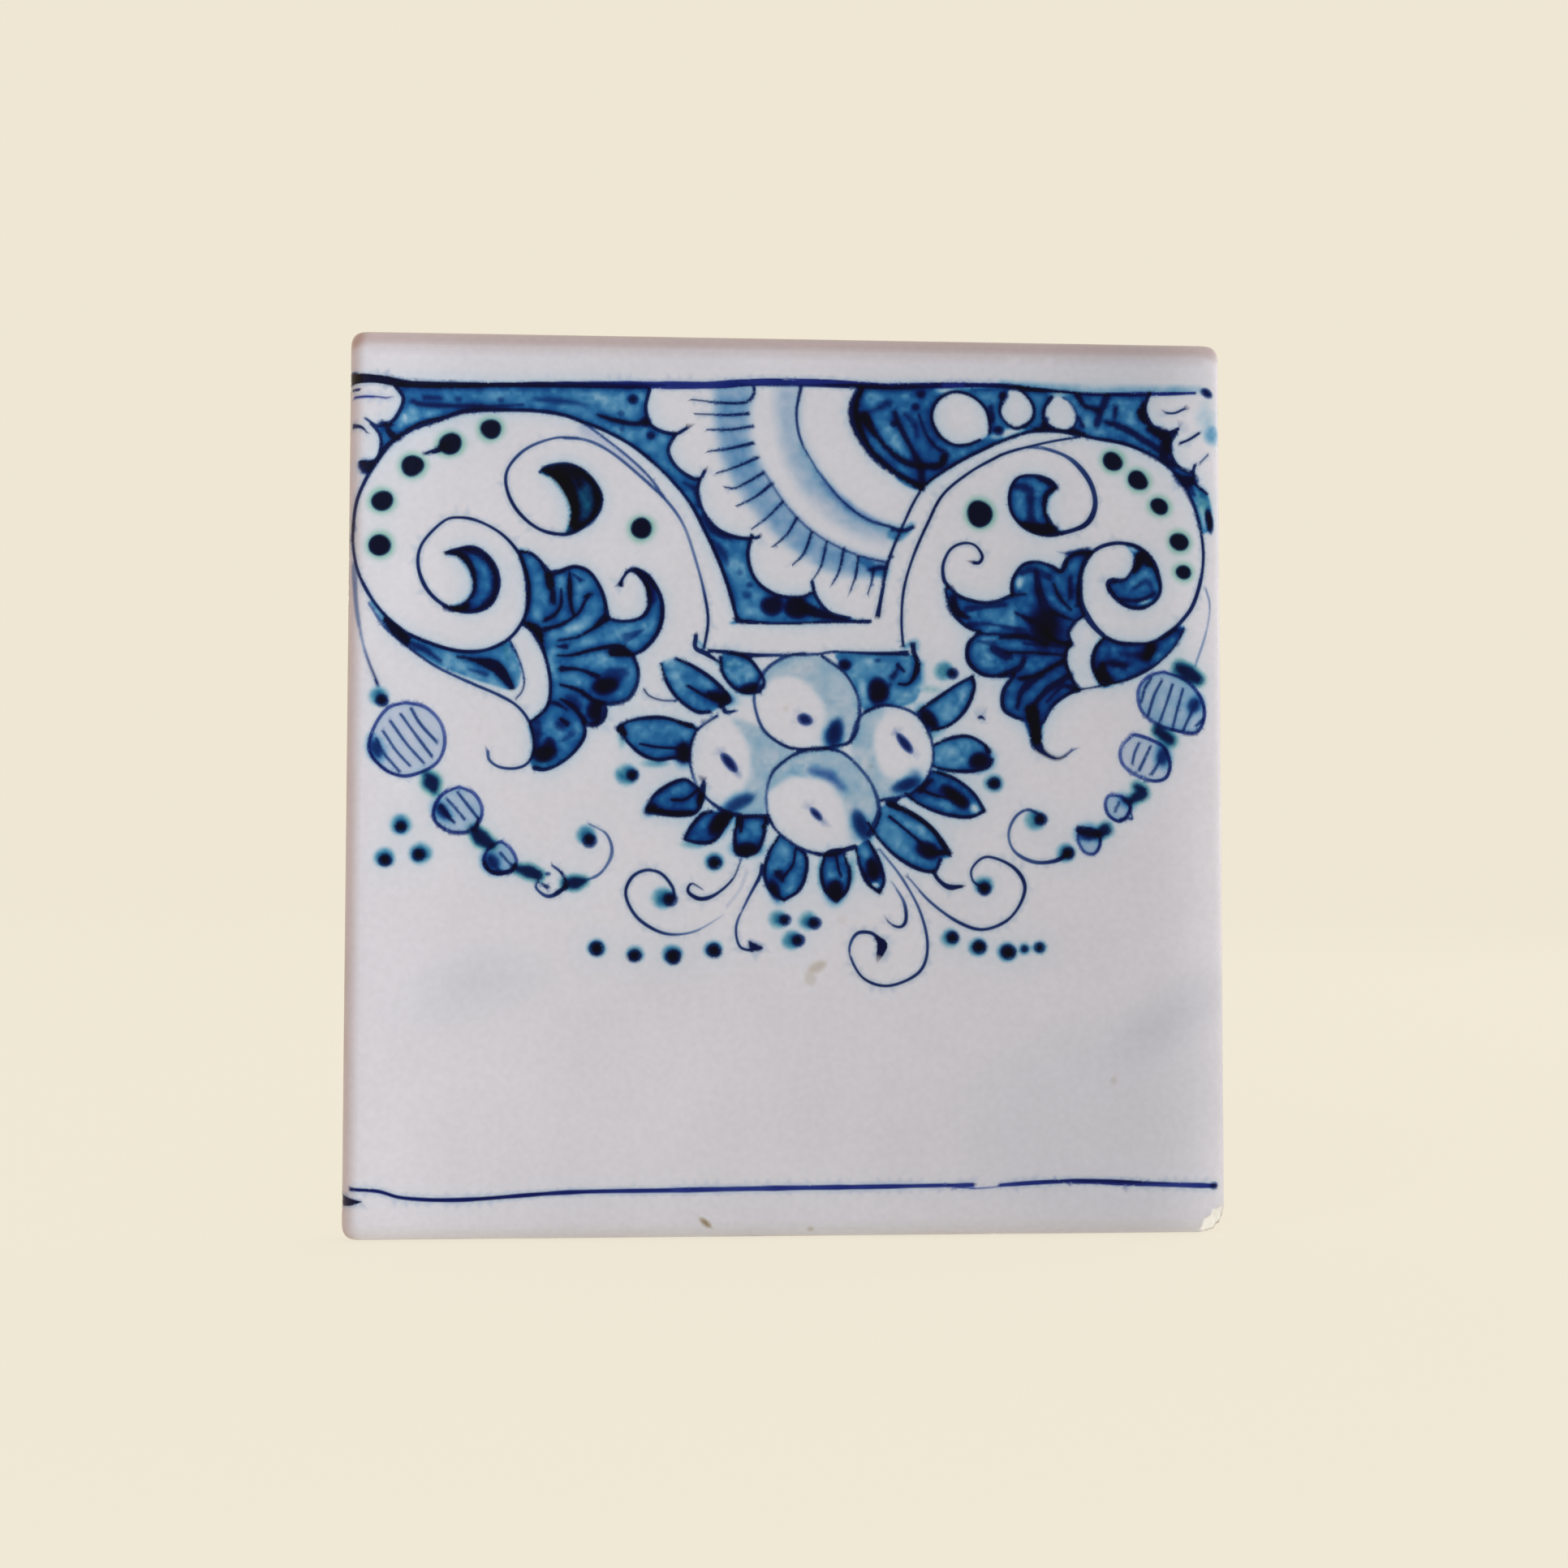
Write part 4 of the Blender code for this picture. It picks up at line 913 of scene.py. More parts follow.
# Balls of the garlands: outline, ribs, and the place, size and turn of the shade
GARLAND_BALLS = [
    ([(-60.5, 12.3), (-57.4, 11.6), (-55, 9.2), (-54.3, 6), (-55.4, 3), (-58.2, 1.3), (-61, 0.8), (-63.8, 2),
      (-66, 4.8), (-65.3, 8.4), (-63.2, 11.4)],
     ([(-64.9, 6.6), (-63.8, 4.4), (-61.3, 1.5)], [(-63.9, 7.8), (-61.8, 4.7), (-59.7, 2.4)],
      [(-62.8, 9.4), (-60.2, 5.8), (-57.6, 2.9)], [(-61.2, 10.5), (-58.8, 7.2), (-56.3, 3.9)],
      [(-59.6, 11.4), (-58, 8.8), (-55.5, 6.1)]), (-64.9, 5, 0.7, 1.3, 20)),
    ([(-52, -0.9), (-49.6, -2), (-48.4, -4.4), (-49.1, -6.8), (-51, -8), (-53.6, -7.8), (-55.7, -6.2),
      (-55.8, -4), (-54.4, -1.9)],
     ([(-54.8, -4), (-53.9, -5.2), (-52.7, -6.5)], [(-53.8, -2.9), (-52.6, -4.2), (-51.1, -6)],
      [(-52.2, -1.8), (-50.7, -3.7), (-49.2, -5.6)]), (-54.6, -4.7, 0.7, 1.3, 35)),
    ([(-45.4, -9.4), (-43.9, -10.6), (-43, -12.6), (-44.1, -14.1), (-46.3, -14.5), (-48, -13.2),
      (-47.8, -11.2), (-46.6, -10)],
     ([(-47.2, -12), (-46.2, -13.4), (-45.2, -14.2)], [(-45.5, -11.2), (-44.6, -12.3), (-43.6, -13.2)]),
     (-46.8, -12.6, 0.9, 1.2, 30)),
    ([(60, 18), (57.4, 17.2), (55.8, 14.9), (56.3, 11.8), (58.6, 9.7), (61.8, 8.6), (65.2, 8.3), (66.5, 10.8),
      (66, 13.8), (63.6, 16.6)],
     ([(57.9, 17), (56.9, 15.3), (56.3, 13.2)], [(59.6, 16.5), (58.4, 14.2), (57.4, 11)],
      [(61.4, 16), (60.4, 13), (59.2, 9.7)], [(63.1, 15.3), (62.2, 12.2), (61.3, 8.7)],
      [(65.3, 13.2), (64.2, 11), (63.1, 8.7)], [(66.3, 10.4), (65.2, 9.4)]), (64.8, 12.6, 0.9, 1.1, -20)),
    ([(54.8, 7.8), (53, 5.8), (53.1, 3.4), (55, 1.6), (58, 0.5), (60.2, 1), (60.9, 3.2), (60, 5.8),
      (57.8, 7.1), (55.6, 7.8)],
     ([(55.9, 6.5), (55.2, 5), (54.8, 3.3)], [(57.7, 5.9), (56.9, 4.2), (55.9, 2.2)],
      [(59.2, 3.8), (58.6, 2.6), (57.9, 1.6)]), (59.7, 4.4, 0.8, 1.3, -10)),
    ([(53, -2), (51, -1.9), (50.4, -3.4), (51, -5.1), (52.6, -6), (53.8, -5.2), (54.4, -3.6)],
     ([(52.6, -3), (52, -4.4)], [(54.7, -2.6), (54.4, -4), (54.7, -5.6)], [(52.9, -5.6), (54.7, -5.6)]),
     (53.9, -2.7, 0.9, 0.5, -20)),
    ([(46, -7.6), (46, -9.2), (47, -10.9), (48.5, -11.2), (49.4, -10), (49.2, -8.2)], (),
     (47.6, -8.1, 1.5, 0.9, 0))]
GARLAND_LINKS = [
    ([(-57, 0.9), (-56.3, -0.3), (-55.9, -1.4)], (0.8, 2.4, 1)),
    ([(-49.7, -7.6), (-48.4, -9), (-47, -9.9)], (1, 2.2, 1.2)),
    ([(-42.8, -13.7), (-41.2, -14.1), (-39.6, -14.7)], (0.8, 1.7, 1.3)),
    ([(-35.4, -15.9), (-33.9, -15.9), (-32.5, -15.6)], (0.7, 1.9, 0.8)),
    ([(62.6, 18.6), (63.7, 18), (65.6, 16.8)], (1.6, 2, 1.3)),
    ([(58.9, 8.6), (60.2, 7.6), (61, 7)], (1.2, 1.4, 1.4)),
    ([(55.4, -0.4), (56.4, -1.4), (54.6, -2.6)], (0.8, 1.9, 0.8)),
    ([(50.4, -7.3), (49.4, -8)], (1.6, 1.2))]

# Beads: place, reach of the halo, shift of the dark core and its size
BEADS = [
    (-64.6, 13.3, 1.4, (0.5, -0.7), 0.85), (-61, -6.8, 1.6, (0, -0.4), 0.75),
    (-63.5, -12, 1.5, (0.1, -0.4), 0.85), (-57.9, -11.3, 1.7, (-0.3, -0.2), 0.85),
    (-32.2, -8.4, 1.4, (0.6, -0.9), 0.95), (-20.1, -18.3, 1.7, (1.2, -0.2), 0.95),
    (-30.4, -26.1, 1.3, (0, -0.1), 1), (-24.4, -27, 1.2, (-0.1, -0.3), 0.9),
    (-18.6, -27.1, 1.5, (0.2, -0.4), 1.05), (-12.1, -26.3, 1.3, (0.1, -0.2), 1),
    (-12, -12.6, 1.4, (0.1, -0.1), 0.9), (-25.9, 1.1, 1.7, (1, 0), 0.8),
    (-1.9, -21.6, 1.4, (1.1, -0.1), 0.75), (2.8, -21.8, 1.4, (1.1, -0.4), 0.85),
    (0.2, -24.9, 1.5, (1.1, 0), 0.85), (32.4, 0, 1.5, (0.1, 0), 0.85),
    (24.4, 17.9, 1.5, (1.5, -0.4), 0.75), (30.8, -16.2, 1.5, (0.1, -0.6), 0.9),
    (39, -5.9, 1.6, (1, 0.2), 0.85), (44, -11, 1.4, (0.4, -0.1), 0.85),
    (25.4, -24.6, 1.4, (0.4, 0.1), 0.85), (29.8, -26, 1.4, (0.3, 0), 0.95),
    (34.5, -26.8, 1.5, (0.2, 0), 1.05), (37.3, -26.3, 0.7, (0, 0), 0.4),
    (39.7, -26.1, 0.9, (0, 0), 0.65)]


def garlands(face):
    """Draw the two bead garlands that hang from the scrolls, each ball ribbed and lightly washed."""
    face.line([(-68.9, 34), (-68.2, 26.6), (-66.9, 20.6), (-64.9, 15.3)], (0.9, 0.8, 0.4, 0.6),
              (0.22, 0.28, 0.25, 0.9), soft=0.2)
    face.line([(67, 31.2), (67.6, 28.6), (66.8, 24), (65.1, 19)], 0.4, 0.2)
    for number, (outline, ribs, shade) in enumerate(GARLAND_BALLS):
        face.wash(outline, 0.05 + 0.045 * (number % 4))
        face.wash(outline, 0.055, "indigo")
        x, z, wide, tall, turn = shade
        face.blot(x, z, wide + 0.7, tall + 0.8, 0.4, "blue", 0.9, turn)
        face.blot(x, z, wide, tall, 0.55, "ink", 0.5, turn)
        face.line(outline + outline[:1], 0.55, (0.6, 0.5, 0.5, 0.8, 0.75, 0.6), "indigo")
        face.line(outline + outline[:1], 0.45, (0.1, 0.1, 0.35, 0.5, 0.2, 0.1))
        for rib in ribs:
            face.line(rib, 0.5, 0.5)
    face.line([(-54.8, -4), (-53.9, -5.2), (-53, -6.2)], (0.9, 0.9, 0.4), 0.8)
    face.line([(-48, -12.6), (-47, -14.1), (-44.2, -14.2), (-43.2, -13.2)], (0.5, 0.9, 0.8), 0.9)
    for link, width in GARLAND_LINKS:
        face.line(link, width, 0.75, soft=0.35)
        for wider, ink, name in ((0.9, 0.5, "blue"), (1.1, 0.4, "green")):
            face.line(link, [value + wider for value in width], ink, name, 0.5)
    face.line([(-49, -5.8), (-49.3, -7.6)], (0.5, 0.8), 0.8)
    face.line([(46.2, -7.4), (48, -7.8), (49.4, -8)], (1.3, 1.9, 1.2), 1)
    face.line([(-39.6, -15.4), (-39.9, -16.7), (-38.2, -18), (-36.4, -17.4), (-35.3, -16), (-36, -14.3),
              (-37.4, -13.2)], (0.4, 0.7, 0.4), (0.6, 0.7, 0.9, 1, 0.4))
    face.line([(-37, -17.6), (-35.2, -16.5)], (0.4, 1), 1)
    face.line([(-39.4, -15.9), (-38.1, -16.6)], (0.3, 0.8), 0.8)
    face.blot(-38.1, -14.5, 0.4, 0.3, 0.6, soft=0.2)
    face.line([(-32.6, -15.7), (-29.8, -14.3), (-28.1, -11.2), (-29, -8.2), (-31.7, -6.6)], (0.4, 0.55, 0.35),
              0.4)
    face.line([(44.4, -11.3), (42, -12.4), (38.8, -12.5), (35.8, -10.9), (34.8, -8.2), (35.8, -5.5),
              (37.8, -4.2), (40, -5)], (0.8, 0.5, 0.5), (1, 0.4, 0.6))
    face.line([(38.9, 8.6), (39.4, 6.2), (41, 4.6), (43, 4), (45.1, 5.4)], (1.1, 1.8, 0.9, 0.5, 0.3),
              (0.8, 1.1, 1.1, 1, 0.7), soft=0.25)


def tendrils(face):
    """Draw the thin tendrils under the fruit."""
    face.line([(-7.9, -12.5), (-9.2, -15.4), (-11.8, -17.7), (-14.2, -18.4), (-16.1, -17.3), (-15.6, -16),
              (-14, -16.8)], (0.3, 0.5, 0.7, 0.2), (0.6, 0.9, 1, 1, 1, 0.5))
    face.line([(-4.4, -13.2), (-4.9, -15), (-6.9, -18.8), (-8.5, -22.6), (-8, -25.8), (-6, -26.6)],
              (0.7, 0.4, 0.5), (1, 0.5, 1))
    face.wash([(-6.5, -25), (-5.4, -25.5), (-4.2, -26), (-5, -26.6), (-6.3, -26.4)], 1.3, "ink", 0.12)
    face.line([(-18.2, -18.2), (-18.6, -16.5), (-20.4, -14.4), (-22.8, -13.9), (-25, -15.1), (-25.9, -17.8),
              (-24.2, -21.2), (-21, -23.4), (-18, -24), (-14.5, -23.3), (-10.6, -21)], (0.5, 0.6, 0.3),
              (1, 0.8, 1, 0.9, 0.35, 0.04))
    face.line([(-6.9, -14.2), (-8, -17), (-10, -19.6)], 0.6, 0.05)
    face.line([(14.2, -10.6), (17.8, -15.2), (20.7, -20.6), (21.8, -26), (20.4, -30), (15.6, -32.1),
              (11.5, -30.8), (9.4, -26.8), (10.4, -24), (12.6, -23.7), (14, -24.6)],
              (0.4, 0.45, 0.45, 0.5, 0.5, 0.4, 0.7), (0.3, 0.45, 0.6, 0.8, 0.9, 1, 0.6, 1))
    face.line([(13.8, -24.6), (14.6, -25.6), (14.2, -27.2)], (0.7, 1.8, 1.2), 1.3)
    face.line([(16.3, -16), (18, -18.8), (18.4, -21.4), (17.8, -22.7), (16.6, -22.7), (15.5, -21.9)],
              (0.35, 0.5, 0.7, 0.3), (0.2, 0.5, 1, 0.8))
    face.line([(18.7, -15), (22.4, -19), (27, -22.2), (31, -23.2), (35.2, -21.2), (37.4, -16.8),
              (35.6, -13.4), (31.4, -11.7), (29, -13.4), (29, -15.4), (30.4, -16.5)],
              (0.35, 0.5, 0.6, 0.5, 0.7, 0.45, 0.4), (0.4, 0.9, 1, 0.7))


def beads(face):
    """Drop the teal beads: one in each spiral, two rows, two groups of three and a few single ones."""
    for bead in BEADS:
        face.bead(*bead)
    face.wash([(29.7, 10.4), (30.5, 10.9), (31.2, 10), (30.4, 10.3)], 1.1, "ink", 0.1)


def smudges_and_grey_patches(face):
    """Lay the brown smudges and specks that the photo shows on the bare glaze, and broad soft grey patches at
    the lower corners and the top right.
    """
    for x, z, wide, tall, depth, turn in (
            (4.3, -29.1, 1.5, 0.8, 0.42, 25), (3.2, -31, 0.9, 1.1, 0.26, 10),
            (-13.2, -69, 1, 0.35, 1.5, -40), (3.3, -70.2, 0.3, 0.25, 0.7, 0),
            (51.5, -47.2, 0.3, 0.4, 0.45, 0), (8.2, -21.6, 0.7, 0.6, 0.12, 0),
            (12.8, 2.6, 0.2, 0.2, 0.4, 0), (-0.7, 11.7, 0.3, 0.25, 0.3, 0)):
        face.blot(x, z, wide, tall, depth, "brown", 0.4, turn)
    # Broad soft grey patches, darker towards the lower corners and the top right
    for x, z, wide, tall, depth, turn in (
            (59, -39, 11, 4, 0.16, 35), (50, -54, 22, 16, 0.07, 0), (-50, -32, 9, 4, 0.1, 15),
            (56, 67, 14, 6, 0.1, 0)):
        face.blot(x, z, wide, tall, depth, "grey", 6, turn)


def paint_face(face):
    """Paint everything, washes first."""
    for layer in (blue_ground, left_edge, dark_hollow, right_ground, left_scroll, left_spur, left_leaf, shell,
                  bouquet_leaves, blue_pocket, fruit, arch_bands, left_dots, right_leaf, right_spur,
                  right_scroll, garlands, tendrils, beads, smudges_and_grey_patches, ruled_lines):
        layer(face)


# Mesh of the tile: rings down the arris, brush edges, then lattices of points
RING_DEPTHS = (0.985, 0.95, 0.88, 0.78, 0.65, 0.5, 0.33, 0.16)
RING_STEP = 0.9
CORNER_POINTS = 13
FINE_STEP = 0.62
COARSE_STEP = 1.9
BACK_STEP = 3.0
BACK_REACH = (68, 70)
ROW_SHARE = 0.87
OUTLINE_APART = 0.05
GUIDE_APART = 0.17
RING_APART = 0.3
FINE_APART = 0.36
COARSE_APART = 0.8
GUIDE_DEPTH = 0.97
FINE_DEPTH = 0.95
COARSE_DEPTH = 0.1
PAINTED = 0.03
NEAR_PAINT = 0.02
PAINT_SPREAD = 4
SIDE_ROWS = (0.35, 0.9, 1.6, 2.4, 3.2, 3.9)
GROOVE_ROWS = (-2.0, -1.6, -1.1, -0.55, 0.0, 0.55, 1.1, 1.6, 2.0)
GROOVE_COLUMNS = (-58, 59, 2.0)
GROOVE_PAST_END = 60.15
GROOVE_APART = 0.1
KEEP_INSIDE = 1
SAME_PLACE = 1e-7

# Waves of the glaze, their size along z and x in cells of the raster
WAVE_CELLS = (260, 300)
WAVE_HEIGHT = 0.035
WAVE_SEED = 11


def ring(depth, step):
    """Run round the plan of the tile, depth 1 being its outline and 0 the end of the arris."""
    flat_x, flat_z = HALF_WIDTH - FRONT_ARRIS, HALF_HEIGHT - FRONT_ARRIS
    reach = depth * FRONT_ARRIS
    turn = np.linspace(0, math.pi / 2, CORNER_POINTS)
    u = reach * np.cos(turn) ** (2 / CORNER_POWER)
    v = reach * np.sin(turn) ** (2 / CORNER_POWER)
    along_top = np.linspace(flat_x, -flat_x, int(2 * flat_x / step) + 1)[1:-1]
    along_side = np.linspace(flat_z, -flat_z, int(2 * flat_z / step) + 1)[1:-1]
    corner = [np.stack([flat_x + u, flat_z + v], 1), np.stack([-flat_x - u, flat_z + v], 1)[::-1],
              np.stack([-flat_x - u, -flat_z - v], 1), np.stack([flat_x + u, -flat_z - v], 1)[::-1]]
    top = np.stack([along_top, np.full(len(along_top), flat_z + reach)], 1)
    left = np.stack([np.full(len(along_side), -flat_x - reach), along_side], 1)
    return np.vstack([corner[0], top, corner[1], left, corner[2], -top, corner[3], -left])


def arris_depth(points):
    """Tell how far out on the front arris points of the plan lie, from 0 to 1."""
    u = np.clip((abs(points[:, 0]) - HALF_WIDTH + FRONT_ARRIS) / FRONT_ARRIS, 0, None)
    v = np.clip((abs(points[:, 1]) - HALF_HEIGHT + FRONT_ARRIS) / FRONT_ARRIS, 0, None)
    return np.clip((u ** CORNER_POWER + v ** CORNER_POWER) ** (1 / CORNER_POWER), 0, 1)


def lattice(step, wanted):
    """Give a staggered lattice of points over the face, where wanted says so."""
    rows = []
    for number, z in enumerate(np.arange(-HALF_HEIGHT, HALF_HEIGHT, step * ROW_SHARE)):
        x = np.arange(-HALF_WIDTH + (number % 2) * step / 2, HALF_WIDTH, step)
        rows.append(np.stack([x, np.full(len(x), z)], 1))
    points = np.vstack(rows)
    return points[wanted(points)]


def thin_out(points, kept, apart):
    """Drop points that fall too near an earlier one."""
    chosen = []
    for point in points:
        cell = (int(point[0] // apart), int(point[1] // apart))
        near = ((cell[0] + i, cell[1] + j) for i in (-1, 0, 1) for j in (-1, 0, 1))
        if all(math.dist(other, point) >= apart for key in near for other in kept.get(key, ())):
            kept.setdefault(cell, []).append(tuple(point))
            chosen.append(point)
    return chosen


def face_points(face):
    """Choose the mesh points of the face, its outline first."""
    inner = np.vstack([ring(depth, RING_STEP) for depth in RING_DEPTHS])
    guides = np.vstack(face.guides)
    guides = guides[arris_depth(guides) < GUIDE_DEPTH]
    painted = face.pigment["blue"] + face.pigment["green"] > PAINTED
    busy = blur(painted.astype(np.float32), PAINT_SPREAD) > NEAR_PAINT
    fine = lattice(FINE_STEP, lambda points: face.sample(busy, points) > 0.5)
    coarse = lattice(COARSE_STEP, lambda points: arris_depth(points) < COARSE_DEPTH)
    kept = {}
    points = thin_out(ring(1.0, RING_STEP), kept, OUTLINE_APART)
    count = len(points)
    points += thin_out(guides, kept, GUIDE_APART)
    points += thin_out(inner, kept, RING_APART)
    points += thin_out(fine[arris_depth(fine) < FINE_DEPTH], kept, FINE_APART)
    points += thin_out(coarse, kept, COARSE_APART)
    return np.array(points), count


def triangulate(points, outline_count):
    """Join points into triangles inside their outline, which is the first of them."""
    loop = list(range(outline_count))
    flat = [Vector(point) for point in points]
    places, _, faces, _, _, _ = delaunay_2d_cdt(flat, [], [loop], KEEP_INSIDE, SAME_PLACE, False)
    return np.array([tuple(place) for place in places]), [tuple(face) for face in faces]


def groove_sink(points):
    """Tell how deep the keying grooves sink the back at each point."""
    radius = (GROOVE_HALF_WIDTH ** 2 + GROOVE_DEPTH ** 2) / (2 * GROOVE_DEPTH)
    sink = np.zeros(len(points))
    for height in GROOVE_HEIGHTS:
        off = np.clip(abs(points[:, 1] - height), 0, GROOVE_HALF_WIDTH)
        sink = np.maximum(sink, np.sqrt(radius ** 2 - off ** 2) - radius + GROOVE_DEPTH)
    return sink * (abs(points[:, 0]) <= GROOVE_END)


def back_points(outline):
    """Choose the mesh points of the back: its outline, rows along the grooves and a plain lattice."""
    kept = {}
    points = thin_out(outline, kept, OUTLINE_APART)
    count = len(points)
    ends = [-GROOVE_END, GROOVE_END, -GROOVE_PAST_END, GROOVE_PAST_END]
    across = np.concatenate([np.arange(*GROOVE_COLUMNS), ends])
    for height in GROOVE_HEIGHTS:
        for off in GROOVE_ROWS:
            row = np.stack([across, np.full(len(across), height + off)], 1)
            points += thin_out(row, kept, GROOVE_APART)
    plain = lattice(BACK_STEP, lambda grid: (abs(grid) < BACK_REACH).all(axis=1))
    points += thin_out(plain, kept, COARSE_APART)
    return np.array(points), count


def chip(places):
    """Press what lies inside the chip's ball back to the ball's skin, and tell how far it went."""
    outwards = Vector(CHIP_LEAN).normalized()
    corner = Vector((HALF_WIDTH, -THICKNESS, -HALF_HEIGHT))
    skin = corner - outwards * FRONT_ARRIS * (math.sqrt(3) - 1)
    centre = np.array(skin + outwards * (CHIP_RADIUS - CHIP_BITE))
    lean = np.array(outwards)
    from_centre = places - centre
    along = from_centre @ lean
    distance = np.sum(from_centre ** 2, 1)
    ripple = sum(height * np.sin(places @ np.array(waves)) for height, waves in CHIP_RIPPLES)
    push = along + np.sqrt(np.clip(CHIP_RADIUS ** 2 - (distance - along ** 2), 0, None)) + ripple
    push = np.where(distance < CHIP_RADIUS ** 2, np.clip(push, 0, None), 0)
    return places - push[:, None] * lean, push


def join_rings(first, second):
    """Close the band between two rings of equal count."""
    band = []
    for index in range(len(first)):
        after = (index + 1) % len(first)
        band.append((first[after], first[index], second[index], second[after]))
    return band


def build_front(face):
    """Make the glazed face, a little wavy, with its rounded arris."""
    points, count = face_points(face)
    front, triangles = triangulate(points, count)
    depth = arris_depth(front)
    lift = FRONT_ARRIS * (1 - np.sqrt(1 - depth ** 2))
    wave = face.sample(cloud(face.shape, WAVE_CELLS, WAVE_SEED) * WAVE_HEIGHT, front) * (1 - depth)
    return np.stack([front[:, 0], -THICKNESS + lift + wave, front[:, 1]], 1), triangles, count


def build_tile(face):
    """Make the tile's mesh: face, sides and back, joined ring to ring."""
    front, faces, count = build_front(face)
    places = [front]
    total = len(front)
    outline = front[:count, [0, 2]]
    rim = list(range(count))
    for row in SIDE_ROWS:
        y = -THICKNESS + FRONT_ARRIS + row
        places.append(np.stack([outline[:, 0], np.full(count, y), outline[:, 1]], 1))
        behind = list(range(total, total + count))
        faces += join_rings(rim, behind)
        rim = behind
        total += count
    back_outline = outline * (1 - BACK_ARRIS / np.array([HALF_WIDTH, HALF_HEIGHT]))
    back, back_triangles = triangulate(*back_points(back_outline))
    places.append(np.stack([back[:, 0], -groove_sink(back), back[:, 1]], 1))
    faces += join_rings(rim, list(range(total, total + count)))
    back_from = len(faces)
    faces += [tuple(total + corner for corner in triangle[::-1]) for triangle in back_triangles]
    places, push = chip(np.vstack(places))
    return places, faces, back_from, push


# Colour: pigment over glaze over clay
GROUND = (0.615, 0.61, 0.70)
CLAY = (0.33, 0.20, 0.165)
# Clay in the chip, near white as painted highlight where the light from the right catches it
CHIP_CLAY_HIGHLIGHT = (0.95, 0.97, 1.0)
SOAK = {
    "ink": (4.8, 3.7, 2.0),
    "indigo": (3.3, 2.9, 1.15),
    "blue": (3.15, 1.4, 0.68),
    "green": (1.5, 0.5, 0.95),
    "grey": (0.8, 0.68, 0.55),
    "brown": (0.6, 0.75, 1.1),
}

# Unevenness of the blue: size in cells and strength of its blotches, and what the ink near it adds
MOTTLES = ((6, 0.16), (13, 0.2), (34, 0.2))
BLUE_LEAST = 0.78
BLUE_MOTTLE = 1.5
BLUE_BY_INK = 1.8
BY_INK_CELLS = 5
INK_BLEED = 0.2
BLEED_CELLS = 3
MOST_INK = 1.2

# Run of the blue into the glaze around it, and the tone of the ground from left to right: lighter at the
# left, darker right of the middle, and lighter again on the right arris as painted highlight
RUN_COLOUR = (0.34, 0.12, 0.03)
RUN_CELLS = 16
MOST_RUN = 1.5
TONE_PLACES = (-70, -62, -52, -30, 0, 25, 45, 60, 66, 70)
TONE_AND_EDGE_HIGHLIGHT = (1.12, 1.14, 1.06, 1.01, 0.98, 0.93, 0.92, 0.93, 1.05, 1.18)
TONE_CELLS = 25

# Where the paint ends on the side, as shares of the thickness: start and width of the fade
PAINT_END = (0.42, 0.2)

# Where the glaze thins to clay: start of the fade, its width, and how bare it gets. On the left and top arris
# the darkening is also painted shade, away from the light on the right.
THIN_SIDE = (0.16, 0.5, 0.75)
THIN_AND_SHADED_LEFT = (66.6, 2.8, 0.62)
THIN_AND_SHADED_TOP = (67.8, 2.2, 0.58)
MOST_BARE_AND_SHADED = 0.92
CLAY_LEAST = 0.1
CLAY_PAINTED = 0.9
BLOTCH_CELLS = (60, 80)
BLOTCH_SEED = 21
BLOTCH = 0.06


def glaze_colour(face):
    """Work out the colour of every cell of the face: each pigment soaks up its own part of the light."""
    blue = face.pigment["blue"]
    ink = np.minimum(face.pigment["ink"] + face.pigment["indigo"], MOST_INK)
    mottle = sum(depth * cloud(face.shape, (size, size), size) for size, depth in MOTTLES)
    uneven = BLUE_LEAST + BLUE_MOTTLE * mottle + BLUE_BY_INK * blur(ink, BY_INK_CELLS)
    blue[...] = blue * uneven + INK_BLEED * blur(ink, BLEED_CELLS)
    run = blur(np.minimum(blue + face.pigment["green"], MOST_RUN), RUN_CELLS)
    across = np.arange(face.shape[1]) * CELL - HALF_WIDTH
    # Tone across the face, with a painted highlight on the right arris
    tone = blur(np.interp(across, TONE_PLACES, TONE_AND_EDGE_HIGHLIGHT)[None, :], TONE_CELLS)
    colour = np.empty(face.shape + (3,), np.float32)
    for band in range(3):
        soaked = RUN_COLOUR[band] * run
        for name in PIGMENTS:
            soaked = soaked + SOAK[name][band] * face.pigment[name]
        colour[..., band] = GROUND[band] * tone * np.exp(-soaked)
    return colour


def tile_colours(face, places, push):
    """Colour every vertex: painted face, glaze that thins over the arris with painted shade on the left and
    top arris, clay behind, and clay in the chip lightened to near white as painted highlight.
    """
    plan = places[:, [0, 2]]
    ground = np.array(GROUND)
    colour = face.sample(glaze_colour(face), plan)
    behind = (places[:, 1] + THICKNESS) / THICKNESS
    start, width = PAINT_END
    side = smoothstep((behind - start) / width)[:, None]
    colour = colour * (1 - side) + ground * side
    blotch = BLOTCH * face.sample(cloud(face.shape, BLOTCH_CELLS, BLOTCH_SEED), plan)
    # Bare clay where the glaze thins, and on the left and top arris also painted shade
    bare = 0
    for place, (start, width, most) in ((behind + blotch, THIN_SIDE), (-places[:, 0], THIN_AND_SHADED_LEFT),
                                        (places[:, 2], THIN_AND_SHADED_TOP)):
        bare = bare + smoothstep((place - start) / width)[:, None] * most
    bare = np.clip(bare, 0, MOST_BARE_AND_SHADED)
    shown = CLAY_LEAST + CLAY_PAINTED * colour / ground
    colour = colour * (1 - bare) + np.array(CLAY) * bare * shown
    # The chip's broken clay, lightened to near white as painted highlight
    chip_highlight = smoothstep(push / CHIP_EDGE)[:, None]
    return colour * (1 - chip_highlight) + np.array(CHIP_CLAY_HIGHLIGHT) * chip_highlight


